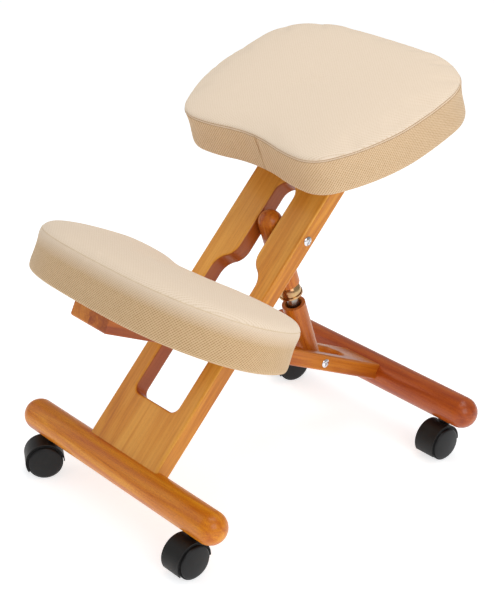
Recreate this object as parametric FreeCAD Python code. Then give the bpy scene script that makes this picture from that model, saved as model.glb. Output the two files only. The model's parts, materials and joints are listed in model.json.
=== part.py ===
import FreeCAD, Part
import math
import os
from FreeCAD import Placement, Rotation, Vector

os.makedirs("parts", exist_ok=True)

# Kneeling chair. Two wooden boards cross like scissors on one pivot. The main board
# carries the seat and stands on the front foot bar. The cross board carries the knee
# pad and stands on the rear foot bar. A screw strut behind the crossing sets the angle
# between the boards, and so the seat height.
# Axes: +X across the chair, -Y towards the knee pad, +Y towards the rear bar, +Z up.
# Origin: on the floor, under the middle of the chair. Lengths in mm, angles in degrees.

# Overall stance
WHEELBASE = 506.0
MAIN_ANGLE = 46.9
CROSS_ANGLE = 25.2

# Foot bars, round with domed ends
BAR_LENGTH = 460.0
BAR_DIAMETER = 50.0

# Main board
MAIN_LENGTH = 623.0
MAIN_WIDTH = 158.0
MAIN_THICK = 28.0
BOARD_ROUND = 3.5
SLOT_START = 106.0
SLOT_WIDE = 96.8
SLOT_CORNER = 13.0
NECK_START = 322.0
NECK_END = 372.0
SLOT_NARROW = 40.0
SLOT_END = 486.0

# Cross board
CROSS_LENGTH = 608.0
CROSS_WIDTH = 80.0
CROSS_THICK = 26.0
FOOT_SLOT_START = 82.0
FOOT_SLOT_END = 202.0
FOOT_SLOT_WIDTH = 42.0

# Pivot and strut pins, as distances along the boards from the foot bar axes
STRUT_TOP_AT = 419.0
STRUT_FOOT_AT = 152.3
PIVOT_RADIUS = 6.0
PIN_RADIUS = 5.0
PIN_SHORT = 1.0
SCREW_RADIUS = 3.0
SCREW_LENGTH = 16.0
PIVOT_HEAD_RADIUS = 9.0
PIN_HEAD_RADIUS = 7.1
HEAD_HEIGHT = 3.2
HEAD_EDGE_SHARE = 0.3
SPACER_RADIUS = 14.0

# Strut: wooden head, screw with hand collar, wooden tube
STRUT_RADIUS = 18.5
STRUT_CHAMFER = 1.5
HEAD_DOME_RISE = 6.5
HEAD_BELOW_PIN = 111.0
BUSH_RADIUS = 10.0
BUSH_LENGTH = 40.0
JOURNAL_RADIUS = 6.0
RING_RADIUS = 8.5
RING_THICK = 1.5
WASHER_RADIUS = 13.5
WASHER_THICK = 1.5
COLLAR_TOP_RADIUS = 13.5
COLLAR_RADIUS = 19.0
COLLAR_HEIGHT = 18.0
COLLAR_RIM = 3.2
COLLAR_BULGE = 1.3
SPINDLE_RADIUS = 9.0
SPINDLE_END = 222.0
TUBE_MOUTH = 150.0
TUBE_BORE_RADIUS = 13.0
TUBE_BORE_DEPTH = 84.0
NUT_DEPTH = 12.0
NUT_LENGTH = 20.0

# Seat
SEAT_TILT = 17.3
SEAT_FORWARD = 38.5
SEAT_HEIGHT = 64.5
SEAT_CROWN = 8.0
SEAT_HALF_WIDTH = 200.5
SEAT_HALF_DEPTH = 155.0
SEAT_FRONT_DIP = 17.5
CLEAT_DROP = 22.0
CLEAT_FOOT = 36.0
CLEAT_MARGIN = 10.0

# Knee pad, whose middle lies a set distance before the cross board's end
KNEE_FROM_END = 95.0
KNEE_HEIGHT = 72.0
KNEE_CROWN = 9.0
KNEE_HALF_WIDTH = 230.0
KNEE_FRONT = 122.5
KNEE_REAR = 122.0
KNEE_NOTCH = 42.0

# Plywood bases set into the cushions
BASE_THICK = 12.0
BASE_INSET = 14.0

# Fasteners of the pads
BOLT_RADIUS = 3.0
BOLT_HEAD_RADIUS = 6.0
BOLT_HEAD_HEIGHT = 3.5
BOLT_SINK = 6.0
KNEE_BOLT_X = 22.0
KNEE_BOLT_Y = 50.0
TEE_RADIUS = 9.0
TEE_THICK = 1.5
TEE_BARREL = 4.0
TEE_LENGTH = 10.0
SEAT_SCREW_X = 48.0
SEAT_SCREW_BITE = 9.0

# Dowels between boards and bars
DOWEL_RADIUS = 5.0
DOWEL_IN_BOARD = 28.0
DOWEL_IN_BAR = 18.0
MAIN_DOWEL_X = 45.0
CROSS_DOWEL_X = 22.0

# Twin-wheel casters
CASTER_HEIGHT = 60.0
CASTER_INSET = 58.5
TRAIL = 16.0
WHEEL_RADIUS = 27.5
WHEEL_WIDTH = 14.2
WHEEL_CROWN = 2.8
WHEEL_RIM = 3.5
HUB_RADIUS = 7.5
AXLE_RADIUS = 4.0
CORE_HALF = 8.0
HOOD_WALL = 1.7
HOOD_GAP = 0.9
HOOD_FRONT_CUT = 11.0
HOOD_REAR_CUT = 27.0
STEM_RADIUS = 5.5
STEM_LENGTH = 34.0
SOCKET_RADIUS = 7.5
SOCKET_FLANGE = 10.0
SOCKET_FLANGE_THICK = 1.6
BOSS_GAP = 0.6
SWIVEL_ANGLE = {"front_right": 0.0, "front_left": -30.0, "rear_right": 0.0, "rear_left": -14.0}

# Clearances
RUNNING = 0.05
PRESS = 0.03
LOOSE = 0.2
SOFT_GAP = 0.3
SIDE_GAP = 0.3
SCREW_PLAY = 0.4
WHEEL_GAP = 0.6
DEPTH_SPARE = 1.0

# Stations that follow from the sizes above
BAR_RADIUS = BAR_DIAMETER / 2
BAR_Z = CASTER_HEIGHT + BAR_RADIUS
HALF_MAIN = MAIN_WIDTH / 2
HALF_CROSS = CROSS_WIDTH / 2
KNEE_AT = CROSS_LENGTH - KNEE_FROM_END
FOLD = math.radians(MAIN_ANGLE + CROSS_ANGLE)
MAIN_PIVOT = WHEELBASE * math.sin(math.radians(CROSS_ANGLE)) / math.sin(FOLD)
CROSS_PIVOT = WHEELBASE * math.sin(math.radians(MAIN_ANGLE)) / math.sin(FOLD)
HIGH = 400.0
STRAIGHT = 0.0001
PARALLEL = 0.000001
X_AXIS = Vector(1, 0, 0)
Y_AXIS = Vector(0, 1, 0)
Z_AXIS = Vector(0, 0, 1)


def cushion_rings(height, crown):
    """Heights, insets and scales of the rings that give a pad its side and crown."""
    side = [(0.0, 4.5), (0.06, 1.7), (0.16, 0.7), (0.5, 1.4), (0.84, 0.0), (0.94, 1.2), (0.99, 4.5)]
    top = [(0.3, 0.95), (0.67, 0.83), (0.92, 0.65), (1.0, 0.4)]
    rings = [(height * share, inset, 1.0) for share, inset in side]
    return rings + [(height + crown * share, side[-1][1], scale) for share, scale in top]


def knee_front_reach():
    """Foremost Y of the knee pad, counted from the front bar axis."""
    tilt = math.radians(CROSS_ANGLE)
    reach = []
    for z, inset, scale in cushion_rings(KNEE_HEIGHT, KNEE_CROWN):
        along = KNEE_AT + (KNEE_FRONT - inset) * scale
        up = CROSS_THICK / 2 + z
        reach.append(WHEELBASE - along * math.cos(tilt) + up * math.sin(tilt))
    return min(reach)


FRONT_Y = -(knee_front_reach() + WHEELBASE + BAR_RADIUS) / 2
REAR_Y = FRONT_Y + WHEELBASE

MAIN_FRAME = Placement(Vector(0, FRONT_Y, BAR_Z), Rotation(X_AXIS, MAIN_ANGLE))
CROSS_FRAME = Placement(Vector(0, REAR_Y, BAR_Z), Rotation(X_AXIS, -CROSS_ANGLE))
PIVOT_POINT = MAIN_FRAME.multVec(Vector(0, MAIN_PIVOT, 0))
STRUT_TOP = MAIN_FRAME.multVec(Vector(0, STRUT_TOP_AT, 0))
STRUT_FOOT = CROSS_FRAME.multVec(Vector(0, -STRUT_FOOT_AT, 0))
STRUT_SPAN = STRUT_TOP.sub(STRUT_FOOT).Length
STRUT_LEAN = math.degrees(math.atan2(STRUT_FOOT.y - STRUT_TOP.y, STRUT_TOP.z - STRUT_FOOT.z))
STRUT_FRAME = Placement(STRUT_TOP, Rotation(X_AXIS, STRUT_LEAN))
SEAT_FRAME = Placement(MAIN_FRAME.multVec(Vector(0, MAIN_LENGTH, 0)), Rotation(X_AXIS, SEAT_TILT))
KNEE_FRAME = CROSS_FRAME.multiply(Placement(Vector(0, -KNEE_AT, CROSS_THICK / 2), Rotation()))


def cylinder_z(radius, z0, z1, x=0.0, y=0.0):
    """Upright cylinder between two heights."""
    return Part.makeCylinder(radius, z1 - z0, Vector(x, y, z0), Z_AXIS)


def cylinder_x(radius, x0, x1, y=0.0, z=0.0):
    """Cylinder along X between two stations."""
    return Part.makeCylinder(radius, x1 - x0, Vector(x0, y, z), X_AXIS)


def turned(points):
    """Solid of revolution about Z from a closed outline of (radius, height) points."""
    corners = [Vector(r, 0, z) for r, z in points]
    face = Part.Face(Part.makePolygon(corners + corners[:1]))
    return face.revolve(Vector(0, 0, 0), Z_AXIS, 360)


def in_frame(shape, frame):
    """Copy of a shape moved from a local frame to the chair."""
    moved = shape.copy()
    moved.Placement = frame.multiply(moved.Placement)
    return moved


def both_sides(shape):
    """The shape and its mirror image across the middle plane."""
    return Part.makeCompound([shape, shape.mirror(Vector(0, 0, 0), X_AXIS)])


def box_between(x0, x1, y0, y1, z0, z1):
    """Box from its corner values."""
    return Part.makeBox(x1 - x0, y1 - y0, z1 - z0, Vector(x0, y0, z0))


def tangent(angle):
    """Unit vector at an angle in the outline's plane."""
    return Vector(math.cos(math.radians(angle)), math.sin(math.radians(angle)), 0)


def arc_middle(start, direction, end):
    """Middle point of the arc that leaves start along a direction and ends at end."""
    chord = end.sub(start)
    swing = math.atan2(direction.cross(chord).z, direction.dot(chord))
    left = Vector(-chord.y, chord.x, 0)
    return start.add(end).multiply(0.5).sub(left.multiply(math.tan(swing / 2) / 2))


def arc_edge(start, middle, end):
    """Arc through three points, or a line where they lie in line."""
    if middle.distanceToLine(start, end.sub(start)) < STRAIGHT:
        return Part.LineSegment(start, end).toShape()
    return Part.Arc(start, middle, end).toShape()


def two_arcs(start, angle_in, end, angle_out):
    """Pair of arcs that joins two points and keeps both end directions."""
    first, last = tangent(angle_in), tangent(angle_out)
    chord = end.sub(start)
    spread = 2 * (1 - first.dot(last))
    along = chord.dot(first.add(last))
    reach = chord.dot(chord) / (2 * along)
    if spread > PARALLEL:
        reach = (math.sqrt(along * along + spread * chord.dot(chord)) - along) / spread
    joint = start.add(end).add(first.sub(last).multiply(reach)).multiply(0.5)
    lead = arc_edge(start, arc_middle(start, first, joint), joint)
    return [lead, arc_edge(joint, arc_middle(end, last.negative(), joint), end)]


def outline_wire(half_nodes, inset, scale, z):
    """Closed outline, mirrored across X, from nodes (x, y, direction) of its right half."""
    left_nodes = [(-x, y, -angle) for x, y, angle in reversed(half_nodes[1:-1])]
    nodes = []
    for x, y, angle in half_nodes + left_nodes:
        inward = tangent(angle + 90).multiply(inset)
        nodes.append(((Vector(x, y, 0).add(inward)).multiply(scale).add(Vector(0, 0, z)), angle))
    edges = []
    for (start, angle_in), (end, angle_out) in zip(nodes, nodes[1:] + nodes[:1]):
        edges += two_arcs(start, angle_in, end, angle_out)
    return Part.Wire(edges)


def cushion(half_nodes, height, crown):
    """Crowned pad with drawn-in sides and a pocket for its plywood base."""
    rings = [outline_wire(half_nodes, inset, scale, z)
             for z, inset, scale in cushion_rings(height, crown)]
    pad = Part.makeLoft(rings, True, True)
    pocket = Part.Face(outline_wire(half_nodes, BASE_INSET - SOFT_GAP, 1.0, -DEPTH_SPARE))
    return pad.cut(pocket.extrude(Vector(0, 0, BASE_THICK + SOFT_GAP + DEPTH_SPARE)))


def base_board(half_nodes):
    """Plywood base that follows the cushion's outline inside its edge."""
    return Part.Face(outline_wire(half_nodes, BASE_INSET, 1.0, 0.0)).extrude(Vector(0, 0, BASE_THICK))


def domed_screw(head_radius):
    """Domed head at the origin with its shank along +Z."""
    edge_height = HEAD_HEIGHT * HEAD_EDGE_SHARE
    rise = HEAD_HEIGHT - edge_height
    dome_radius = (head_radius ** 2 + rise ** 2) / (2 * rise)
    head = Part.makeCylinder(head_radius, HEAD_HEIGHT, Vector(0, 0, -HEAD_HEIGHT), Z_AXIS)
    head = head.common(Part.makeSphere(dome_radius, Vector(0, 0, dome_radius - HEAD_HEIGHT)))
    return head.fuse(cylinder_z(SCREW_RADIUS, 0, SCREW_LENGTH)).removeSplitter()


def pin_sleeve(radius, half_width):
    """Steel sleeve across a board, open at both ends for its screws."""
    half = half_width - PIN_SHORT
    sleeve = cylinder_x(radius, -half, half)
    drill = cylinder_x(SCREW_RADIUS + RUNNING, half - SCREW_LENGTH, half + DEPTH_SPARE)
    return sleeve.cut(both_sides(drill))


def pin_screws(head_radius, half_width):
    """The two screws that close a sleeve from the board's sides."""
    screw = domed_screw(head_radius)
    screw.Placement = Placement(Vector(half_width, 0, 0), Rotation(Y_AXIS, -90))
    return both_sides(screw)


def slot_face():
    """Slot of the main board: wide below, narrow above, one smooth bend each side."""
    wide, narrow, corner = SLOT_WIDE / 2, SLOT_NARROW / 2, SLOT_CORNER
    bend = corner * math.sqrt(0.5)
    low = SLOT_START + corner
    right = [arc_edge(Vector(wide - corner, SLOT_START, 0),
                      Vector(wide - corner + bend, low - bend, 0), Vector(wide, low, 0)),
             arc_edge(Vector(wide, low, 0), Vector(wide, (low + NECK_START) / 2, 0),
                      Vector(wide, NECK_START, 0))]
    right += two_arcs(Vector(wide, NECK_START, 0), 90, Vector(narrow, NECK_END, 0), 90)
    high = SLOT_END - narrow
    right.append(Part.LineSegment(Vector(narrow, NECK_END, 0), Vector(narrow, high, 0)).toShape())
    left = [edge.mirror(Vector(0, 0, 0), X_AXIS) for edge in right]
    top = arc_edge(Vector(narrow, high, 0), Vector(0, SLOT_END, 0), Vector(-narrow, high, 0))
    foot_ends = [Vector(x, SLOT_START, 0) for x in (corner - wide, wide - corner)]
    foot = Part.LineSegment(foot_ends[0], foot_ends[1]).toShape()
    return Part.Face(Part.Wire(Part.__sortEdges__([foot, top] + right + left)))


def rectangle(half_width, y0, y1):
    """Face between two ends, centred on the middle plane."""
    corners = [Vector(-half_width, y0, 0), Vector(half_width, y0, 0),
               Vector(half_width, y1, 0), Vector(-half_width, y1, 0)]
    return Part.Face(Part.makePolygon(corners + corners[:1]))


def rounded_plate(face, thick, trimmed):
    """Plate of a face, centred on its plane, with its long edges rounded over.

    Edges whose middle lies at a trimmed end are left sharp.
    """
    plate = face.extrude(Vector(0, 0, thick))
    plate.translate(Vector(0, 0, -thick / 2))
    edges = []
    for edge in plate.Edges:
        box = edge.BoundBox
        at_face = abs(box.ZMax - box.ZMin) < STRAIGHT
        at_end = any(abs(edge.CenterOfMass.y - end) < STRAIGHT for end in trimmed)
        if at_face and not at_end:
            edges.append(edge)
    return plate.makeFillet(BOARD_ROUND, edges)


def dowel_holes(board_x, reach):
    """Blind holes along a board's length for its two dowels, also cut into the bar."""
    foot = Vector(board_x, reach[0], 0)
    hole = Part.makeCylinder(DOWEL_RADIUS + LOOSE / 2, reach[1] - reach[0], foot, Y_AXIS)
    return both_sides(hole)


def dowels(board_x, side):
    """Two beech dowels through the joint between a board and its bar."""
    low, high = sorted((side * (BAR_RADIUS - DOWEL_IN_BAR), side * (BAR_RADIUS + DOWEL_IN_BOARD)))
    dowel = Part.makeCylinder(DOWEL_RADIUS, high - low, Vector(board_x, low, 0), Y_AXIS)
    return both_sides(dowel)


def dowel_span(side):
    """Ends of the dowel holes, a little past the dowels."""
    in_bar = BAR_RADIUS - DOWEL_IN_BAR - LOOSE
    in_board = BAR_RADIUS + DOWEL_IN_BOARD + DEPTH_SPARE
    return sorted((side * in_bar, side * in_board))


def main_board():
    """Seat board: slotted plate, coped on the front bar and bevelled under the seat."""
    top = MAIN_LENGTH + HIGH
    outer = rectangle(HALF_MAIN, 0.0, top)
    plate = rounded_plate(outer.cut(slot_face()).Faces[0], MAIN_THICK, (0.0, top))
    above = box_between(-MAIN_WIDTH, MAIN_WIDTH, -HIGH * 2, HIGH * 2, 0, HIGH * 2)
    above = in_frame(above, MAIN_FRAME.inverse().multiply(SEAT_FRAME))
    plate = plate.cut(above)
    plate = plate.cut(cylinder_x(BAR_RADIUS, -MAIN_WIDTH, MAIN_WIDTH))
    plate = plate.cut(cylinder_x(PIVOT_RADIUS + PRESS, -MAIN_WIDTH, MAIN_WIDTH, MAIN_PIVOT))
    plate = plate.cut(cylinder_x(PIN_RADIUS + PRESS, -MAIN_WIDTH, MAIN_WIDTH, STRUT_TOP_AT))
    return in_frame(plate.cut(dowel_holes(MAIN_DOWEL_X, dowel_span(1))), MAIN_FRAME)


def foot_slot():
    """Long hole of the cross board that the strut's tube stands in."""
    radius = FOOT_SLOT_WIDTH / 2
    low, high = -FOOT_SLOT_END + radius, -FOOT_SLOT_START - radius
    ends = [Part.Arc(Vector(-radius, low, 0), Vector(0, low - radius, 0), Vector(radius, low, 0)),
            Part.LineSegment(Vector(radius, low, 0), Vector(radius, high, 0)),
            Part.Arc(Vector(radius, high, 0), Vector(0, high + radius, 0), Vector(-radius, high, 0)),
            Part.LineSegment(Vector(-radius, high, 0), Vector(-radius, low, 0))]
    return Part.Face(Part.Wire([end.toShape() for end in ends]))


def cross_board():
    """Knee board: plain plate with the strut's slot, coped on the rear bar."""
    outer = rectangle(HALF_CROSS, -CROSS_LENGTH, 0.0)
    plate = rounded_plate(outer.cut(foot_slot()).Faces[0], CROSS_THICK, (0.0,))
    plate = plate.cut(cylinder_x(BAR_RADIUS, -MAIN_WIDTH, MAIN_WIDTH))
    plate = plate.cut(cylinder_x(PIVOT_RADIUS + RUNNING, -MAIN_WIDTH, MAIN_WIDTH, -CROSS_PIVOT))
    plate = plate.cut(cylinder_x(PIN_RADIUS + PRESS, -MAIN_WIDTH, MAIN_WIDTH, -STRUT_FOOT_AT))
    plate = plate.cut(dowel_holes(CROSS_DOWEL_X, dowel_span(-1)))
    low = -CROSS_THICK / 2
    for x, y in knee_bolt_places():
        y -= KNEE_AT
        plate = plate.cut(cylinder_z(BOLT_RADIUS + LOOSE, -CROSS_THICK, CROSS_THICK, x, y))
        plate = plate.cut(cylinder_z(BOLT_HEAD_RADIUS + LOOSE, low - DEPTH_SPARE, low + BOLT_SINK, x, y))
    return in_frame(plate, CROSS_FRAME)


def foot_bar(frame, board_x, side):
    """Round bar with domed ends, two caster sockets below and two dowel holes."""
    half = BAR_LENGTH / 2 - BAR_RADIUS
    bar = cylinder_x(BAR_RADIUS, -half, half)
    for end in (-half, half):
        bar = bar.fuse(Part.makeSphere(BAR_RADIUS, Vector(end, 0, 0)))
    bar = bar.removeSplitter()
    bar.Placement = Placement(frame.Base, Rotation())
    bar = bar.cut(in_frame(dowel_holes(board_x, dowel_span(side)), frame))
    top = CASTER_HEIGHT + STEM_LENGTH + DEPTH_SPARE
    hole = cylinder_z(SOCKET_RADIUS + PRESS, CASTER_HEIGHT - DEPTH_SPARE, top, caster_x(), frame.Base.y)
    return bar.cut(both_sides(hole))


def pivot_spacers():
    """Nylon rings between the main board's rails and the cross board."""
    outer = cylinder_x(SPACER_RADIUS, HALF_CROSS + SIDE_GAP, SLOT_WIDE / 2)
    ring = outer.cut(cylinder_x(PIVOT_RADIUS + RUNNING, 0, MAIN_WIDTH))
    return in_frame(both_sides(ring), Placement(PIVOT_POINT, Rotation(X_AXIS, MAIN_ANGLE)))


def strut_head():
    """Wooden head of the strut: domed end on its pin, bore for the screw's bush below."""
    body = cylinder_z(STRUT_RADIUS, -HEAD_BELOW_PIN, HEAD_DOME_RISE)
    body = body.makeChamfer(STRUT_CHAMFER, [lowest_edge(body)])
    body = body.fuse(Part.makeSphere(STRUT_RADIUS, Vector(0, 0, HEAD_DOME_RISE))).removeSplitter()
    body = body.cut(cylinder_x(PIN_RADIUS + RUNNING, -HALF_MAIN, HALF_MAIN))
    bore_top = BUSH_LENGTH + RING_THICK * 3 + DEPTH_SPARE - HEAD_BELOW_PIN
    body = body.cut(cylinder_z(BUSH_RADIUS + PRESS, -HEAD_BELOW_PIN - DEPTH_SPARE, bore_top))
    return in_frame(body, STRUT_FRAME)


def lowest_edge(solid):
    """The round edge at a solid's lower end."""
    return min(solid.Edges, key=lambda edge: edge.BoundBox.ZMax)


def head_bush():
    """Bronze bush that the screw's journal turns in."""
    bush = cylinder_z(BUSH_RADIUS, -HEAD_BELOW_PIN, BUSH_LENGTH - HEAD_BELOW_PIN)
    return in_frame(bush.cut(cylinder_z(JOURNAL_RADIUS + RUNNING, -HIGH, 0)), STRUT_FRAME)


def thrust_washer():
    """Washer under the wooden head that the collar bears on."""
    top = -HEAD_BELOW_PIN
    ring = cylinder_z(WASHER_RADIUS, top - WASHER_THICK, top)
    return in_frame(ring.cut(cylinder_z(JOURNAL_RADIUS + LOOSE, -HIGH, 0)), STRUT_FRAME)


def collar_top():
    """Height of the collar's upper face along the strut, counted from the top pin."""
    return -HEAD_BELOW_PIN - WASHER_THICK - SIDE_GAP


def spindle():
    """Adjusting screw: journal above the collar, thick threaded rod below it."""
    shoulder = collar_top() - COLLAR_RIM
    top = BUSH_LENGTH + RING_THICK * 3 - HEAD_BELOW_PIN
    rod = turned([(0, -SPINDLE_END), (SPINDLE_RADIUS - STRUT_CHAMFER, -SPINDLE_END),
                  (SPINDLE_RADIUS, STRUT_CHAMFER - SPINDLE_END), (SPINDLE_RADIUS, shoulder),
                  (JOURNAL_RADIUS, shoulder), (JOURNAL_RADIUS, top), (0, top)])
    return in_frame(rod, STRUT_FRAME)


def retaining_ring():
    """Ring on the journal that keeps the screw in its bush."""
    low = BUSH_LENGTH + SIDE_GAP - HEAD_BELOW_PIN
    ring = cylinder_z(RING_RADIUS, low, low + RING_THICK)
    return in_frame(ring.cut(cylinder_z(JOURNAL_RADIUS, -HIGH, 0)), STRUT_FRAME)


def hand_collar():
    """Domed hand nut with a flange round its foot, fixed on the screw."""
    top = collar_top()
    foot = top - COLLAR_HEIGHT
    shoulder = top - COLLAR_RIM
    rim = foot + COLLAR_RIM
    neck = COLLAR_RADIUS - STRUT_CHAMFER
    bulge = Vector((COLLAR_TOP_RADIUS + neck) / 2 + COLLAR_BULGE, 0, (top + rim) / 2 + COLLAR_BULGE)
    shell = Part.Arc(Vector(COLLAR_TOP_RADIUS, 0, top), bulge, Vector(neck, 0, rim)).toShape()
    rest = [(neck, rim), (COLLAR_RADIUS, rim), (COLLAR_RADIUS, foot), (SPINDLE_RADIUS, foot),
            (SPINDLE_RADIUS, shoulder), (JOURNAL_RADIUS, shoulder), (JOURNAL_RADIUS, top),
            (COLLAR_TOP_RADIUS, top)]
    corners = [Vector(r, 0, z) for r, z in rest]
    lines = [Part.LineSegment(a, b).toShape() for a, b in zip(corners, corners[1:])]
    face = Part.Face(Part.Wire([shell] + lines))
    return in_frame(face.revolve(Vector(0, 0, 0), Z_AXIS, 360), STRUT_FRAME)


def strut_tube():
    """Wooden tube round the screw, with a ball-shaped foot on its pin."""
    body = cylinder_z(STRUT_RADIUS, -STRUT_SPAN, -TUBE_MOUTH)
    body = body.fuse(Part.makeSphere(STRUT_RADIUS, Vector(0, 0, -STRUT_SPAN))).removeSplitter()
    body = body.cut(cylinder_z(TUBE_BORE_RADIUS, -TUBE_MOUTH - TUBE_BORE_DEPTH, 0))
    body = body.cut(cylinder_x(PIN_RADIUS + RUNNING, -HALF_MAIN, HALF_MAIN, 0, -STRUT_SPAN))
    return in_frame(body, STRUT_FRAME)


def tube_nut():
    """Steel nut pressed into the tube's bore, round the screw."""
    top = -TUBE_MOUTH - NUT_DEPTH
    nut = cylinder_z(TUBE_BORE_RADIUS - PRESS, top - NUT_LENGTH, top)
    return in_frame(nut.cut(cylinder_z(SPINDLE_RADIUS + SCREW_PLAY, -HIGH, 0)), STRUT_FRAME)


def seat_nodes():
    """Right half of the seat's outline: waved front, bowed sides, round corners."""
    w, d = SEAT_HALF_WIDTH, SEAT_HALF_DEPTH
    return [(0.0, SEAT_FRONT_DIP - d, 0.0), (0.556 * w, -0.962 * d, 0.0), (0.784 * w, -0.816 * d, 55.0),
            (w, 0.0, 88.0), (0.815 * w, 0.827 * d, 148.0), (0.0, d, 180.0)]


def knee_nodes():
    """Right half of the knee pad's outline: bowed front, round lobes, notch at the back."""
    w = KNEE_HALF_WIDTH
    return [(0.0, -KNEE_FRONT, 0.0), (0.66 * w, -0.81 * KNEE_FRONT, 25.0), (w, 0.09 * KNEE_REAR, 90.0),
            (0.66 * w, KNEE_REAR, 180.0), (0.27 * w, KNEE_REAR - 0.55 * KNEE_NOTCH, 208.0),
            (0.0, KNEE_REAR - KNEE_NOTCH, 180.0)]


def seat_in_place(shape):
    """Seat part moved from the seat's own middle to the top of the main board."""
    return in_frame(shape, SEAT_FRAME.multiply(Placement(Vector(0, -SEAT_FORWARD, 0), Rotation())))


def seat_cleat():
    """Wedge-shaped cleat behind the board, glued to its back and screwed to the seat."""
    between = math.radians(MAIN_ANGLE - SEAT_TILT)
    back = MAIN_THICK / 2 / math.sin(between)
    low = back - CLEAT_DROP / math.tan(between)
    half = HALF_MAIN - CLEAT_MARGIN
    corners = [Vector(-half, back, 0), Vector(-half, back + CLEAT_FOOT, 0),
               Vector(-half, back + CLEAT_FOOT * 0.7, -CLEAT_DROP), Vector(-half, low, -CLEAT_DROP)]
    face = Part.Face(Part.makePolygon(corners + corners[:1]))
    cleat = face.extrude(Vector(2 * half, 0, 0))
    for x, y in seat_screw_places():
        cleat = cleat.cut(cylinder_z(SCREW_RADIUS + LOOSE, -CLEAT_DROP - DEPTH_SPARE, DEPTH_SPARE, x, y))
    return in_frame(cleat, SEAT_FRAME)


def seat_screw_places():
    """Places of the seat screws, counted from the top of the main board."""
    between = math.radians(MAIN_ANGLE - SEAT_TILT)
    y = MAIN_THICK / 2 / math.sin(between) + CLEAT_FOOT * 0.2
    return [(x, y) for x in (-SEAT_SCREW_X, 0.0, SEAT_SCREW_X)]


def seat_screws():
    """Wood screws through the cleat into the seat base."""
    screws = []
    for x, y in seat_screw_places():
        shank = cylinder_z(SCREW_RADIUS, -CLEAT_DROP, SEAT_SCREW_BITE, x, y)
        head = cylinder_z(PIN_HEAD_RADIUS, -CLEAT_DROP - HEAD_HEIGHT, -CLEAT_DROP, x, y)
        head = head.makeFillet(HEAD_HEIGHT * 0.6, [lowest_edge(head)])
        screws.append(head.fuse(shank).removeSplitter())
    return in_frame(Part.makeCompound(screws), SEAT_FRAME)


def seat_base():
    """Plywood seat base with holes for the cleat's screws."""
    base = base_board(seat_nodes())
    end = SEAT_SCREW_BITE + DEPTH_SPARE
    for x, y in seat_screw_places():
        y += SEAT_FORWARD
        base = base.cut(cylinder_z(SCREW_RADIUS + LOOSE / 2, -DEPTH_SPARE, end, x, y))
    return seat_in_place(base)


def knee_bolt_places():
    """Places of the knee pad's four bolts, counted from the pad's middle."""
    return [(x, y) for x in (-KNEE_BOLT_X, KNEE_BOLT_X) for y in (-KNEE_BOLT_Y, KNEE_BOLT_Y)]


def knee_base():
    """Plywood knee base with seats for the tee nuts."""
    base = base_board(knee_nodes())
    seat = BASE_THICK - TEE_THICK
    for x, y in knee_bolt_places():
        base = base.cut(cylinder_z(TEE_BARREL + LOOSE / 2, -DEPTH_SPARE, BASE_THICK, x, y))
        base = base.cut(cylinder_z(TEE_RADIUS + LOOSE, seat, BASE_THICK + DEPTH_SPARE, x, y))
    return in_frame(base, KNEE_FRAME)


def tee_nuts():
    """Tee nuts sunk in the top of the knee base."""
    nuts = []
    for x, y in knee_bolt_places():
        barrel = cylinder_z(TEE_BARREL, BASE_THICK - TEE_LENGTH, BASE_THICK, x, y)
        plate = cylinder_z(TEE_RADIUS, BASE_THICK - TEE_THICK, BASE_THICK, x, y)
        nut = barrel.fuse(plate).removeSplitter()
        nuts.append(nut.cut(cylinder_z(BOLT_RADIUS + RUNNING, -HIGH, HIGH, x, y)))
    return in_frame(Part.makeCompound(nuts), KNEE_FRAME)


def knee_bolts():
    """Bolts from below the cross board into the tee nuts, heads sunk."""
    bolts = []
    seat = BOLT_SINK - CROSS_THICK
    for x, y in knee_bolt_places():
        head = cylinder_z(BOLT_HEAD_RADIUS, seat - BOLT_HEAD_HEIGHT, seat, x, y)
        head = head.makeFillet(BOLT_HEAD_HEIGHT * 0.5, [lowest_edge(head)])
        shank = cylinder_z(BOLT_RADIUS, seat, BASE_THICK - TEE_THICK, x, y)
        bolts.append(head.fuse(shank).removeSplitter())
    return in_frame(Part.makeCompound(bolts), KNEE_FRAME)


def caster_x():
    """Distance of the caster stems from the middle plane."""
    return BAR_LENGTH / 2 - CASTER_INSET


def caster_frame(name):
    """Local frame of one caster: on the floor under its stem, turned by its swivel."""
    y = FRONT_Y if name.startswith("front") else REAR_Y
    x = caster_x() if name.endswith("right") else -caster_x()
    return Placement(Vector(x, y, 0), Rotation(Z_AXIS, SWIVEL_ANGLE[name]))


def hood_radius():
    """Outer radius of the hood round the wheel axle."""
    return WHEEL_RADIUS + HOOD_GAP + HOOD_WALL


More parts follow.
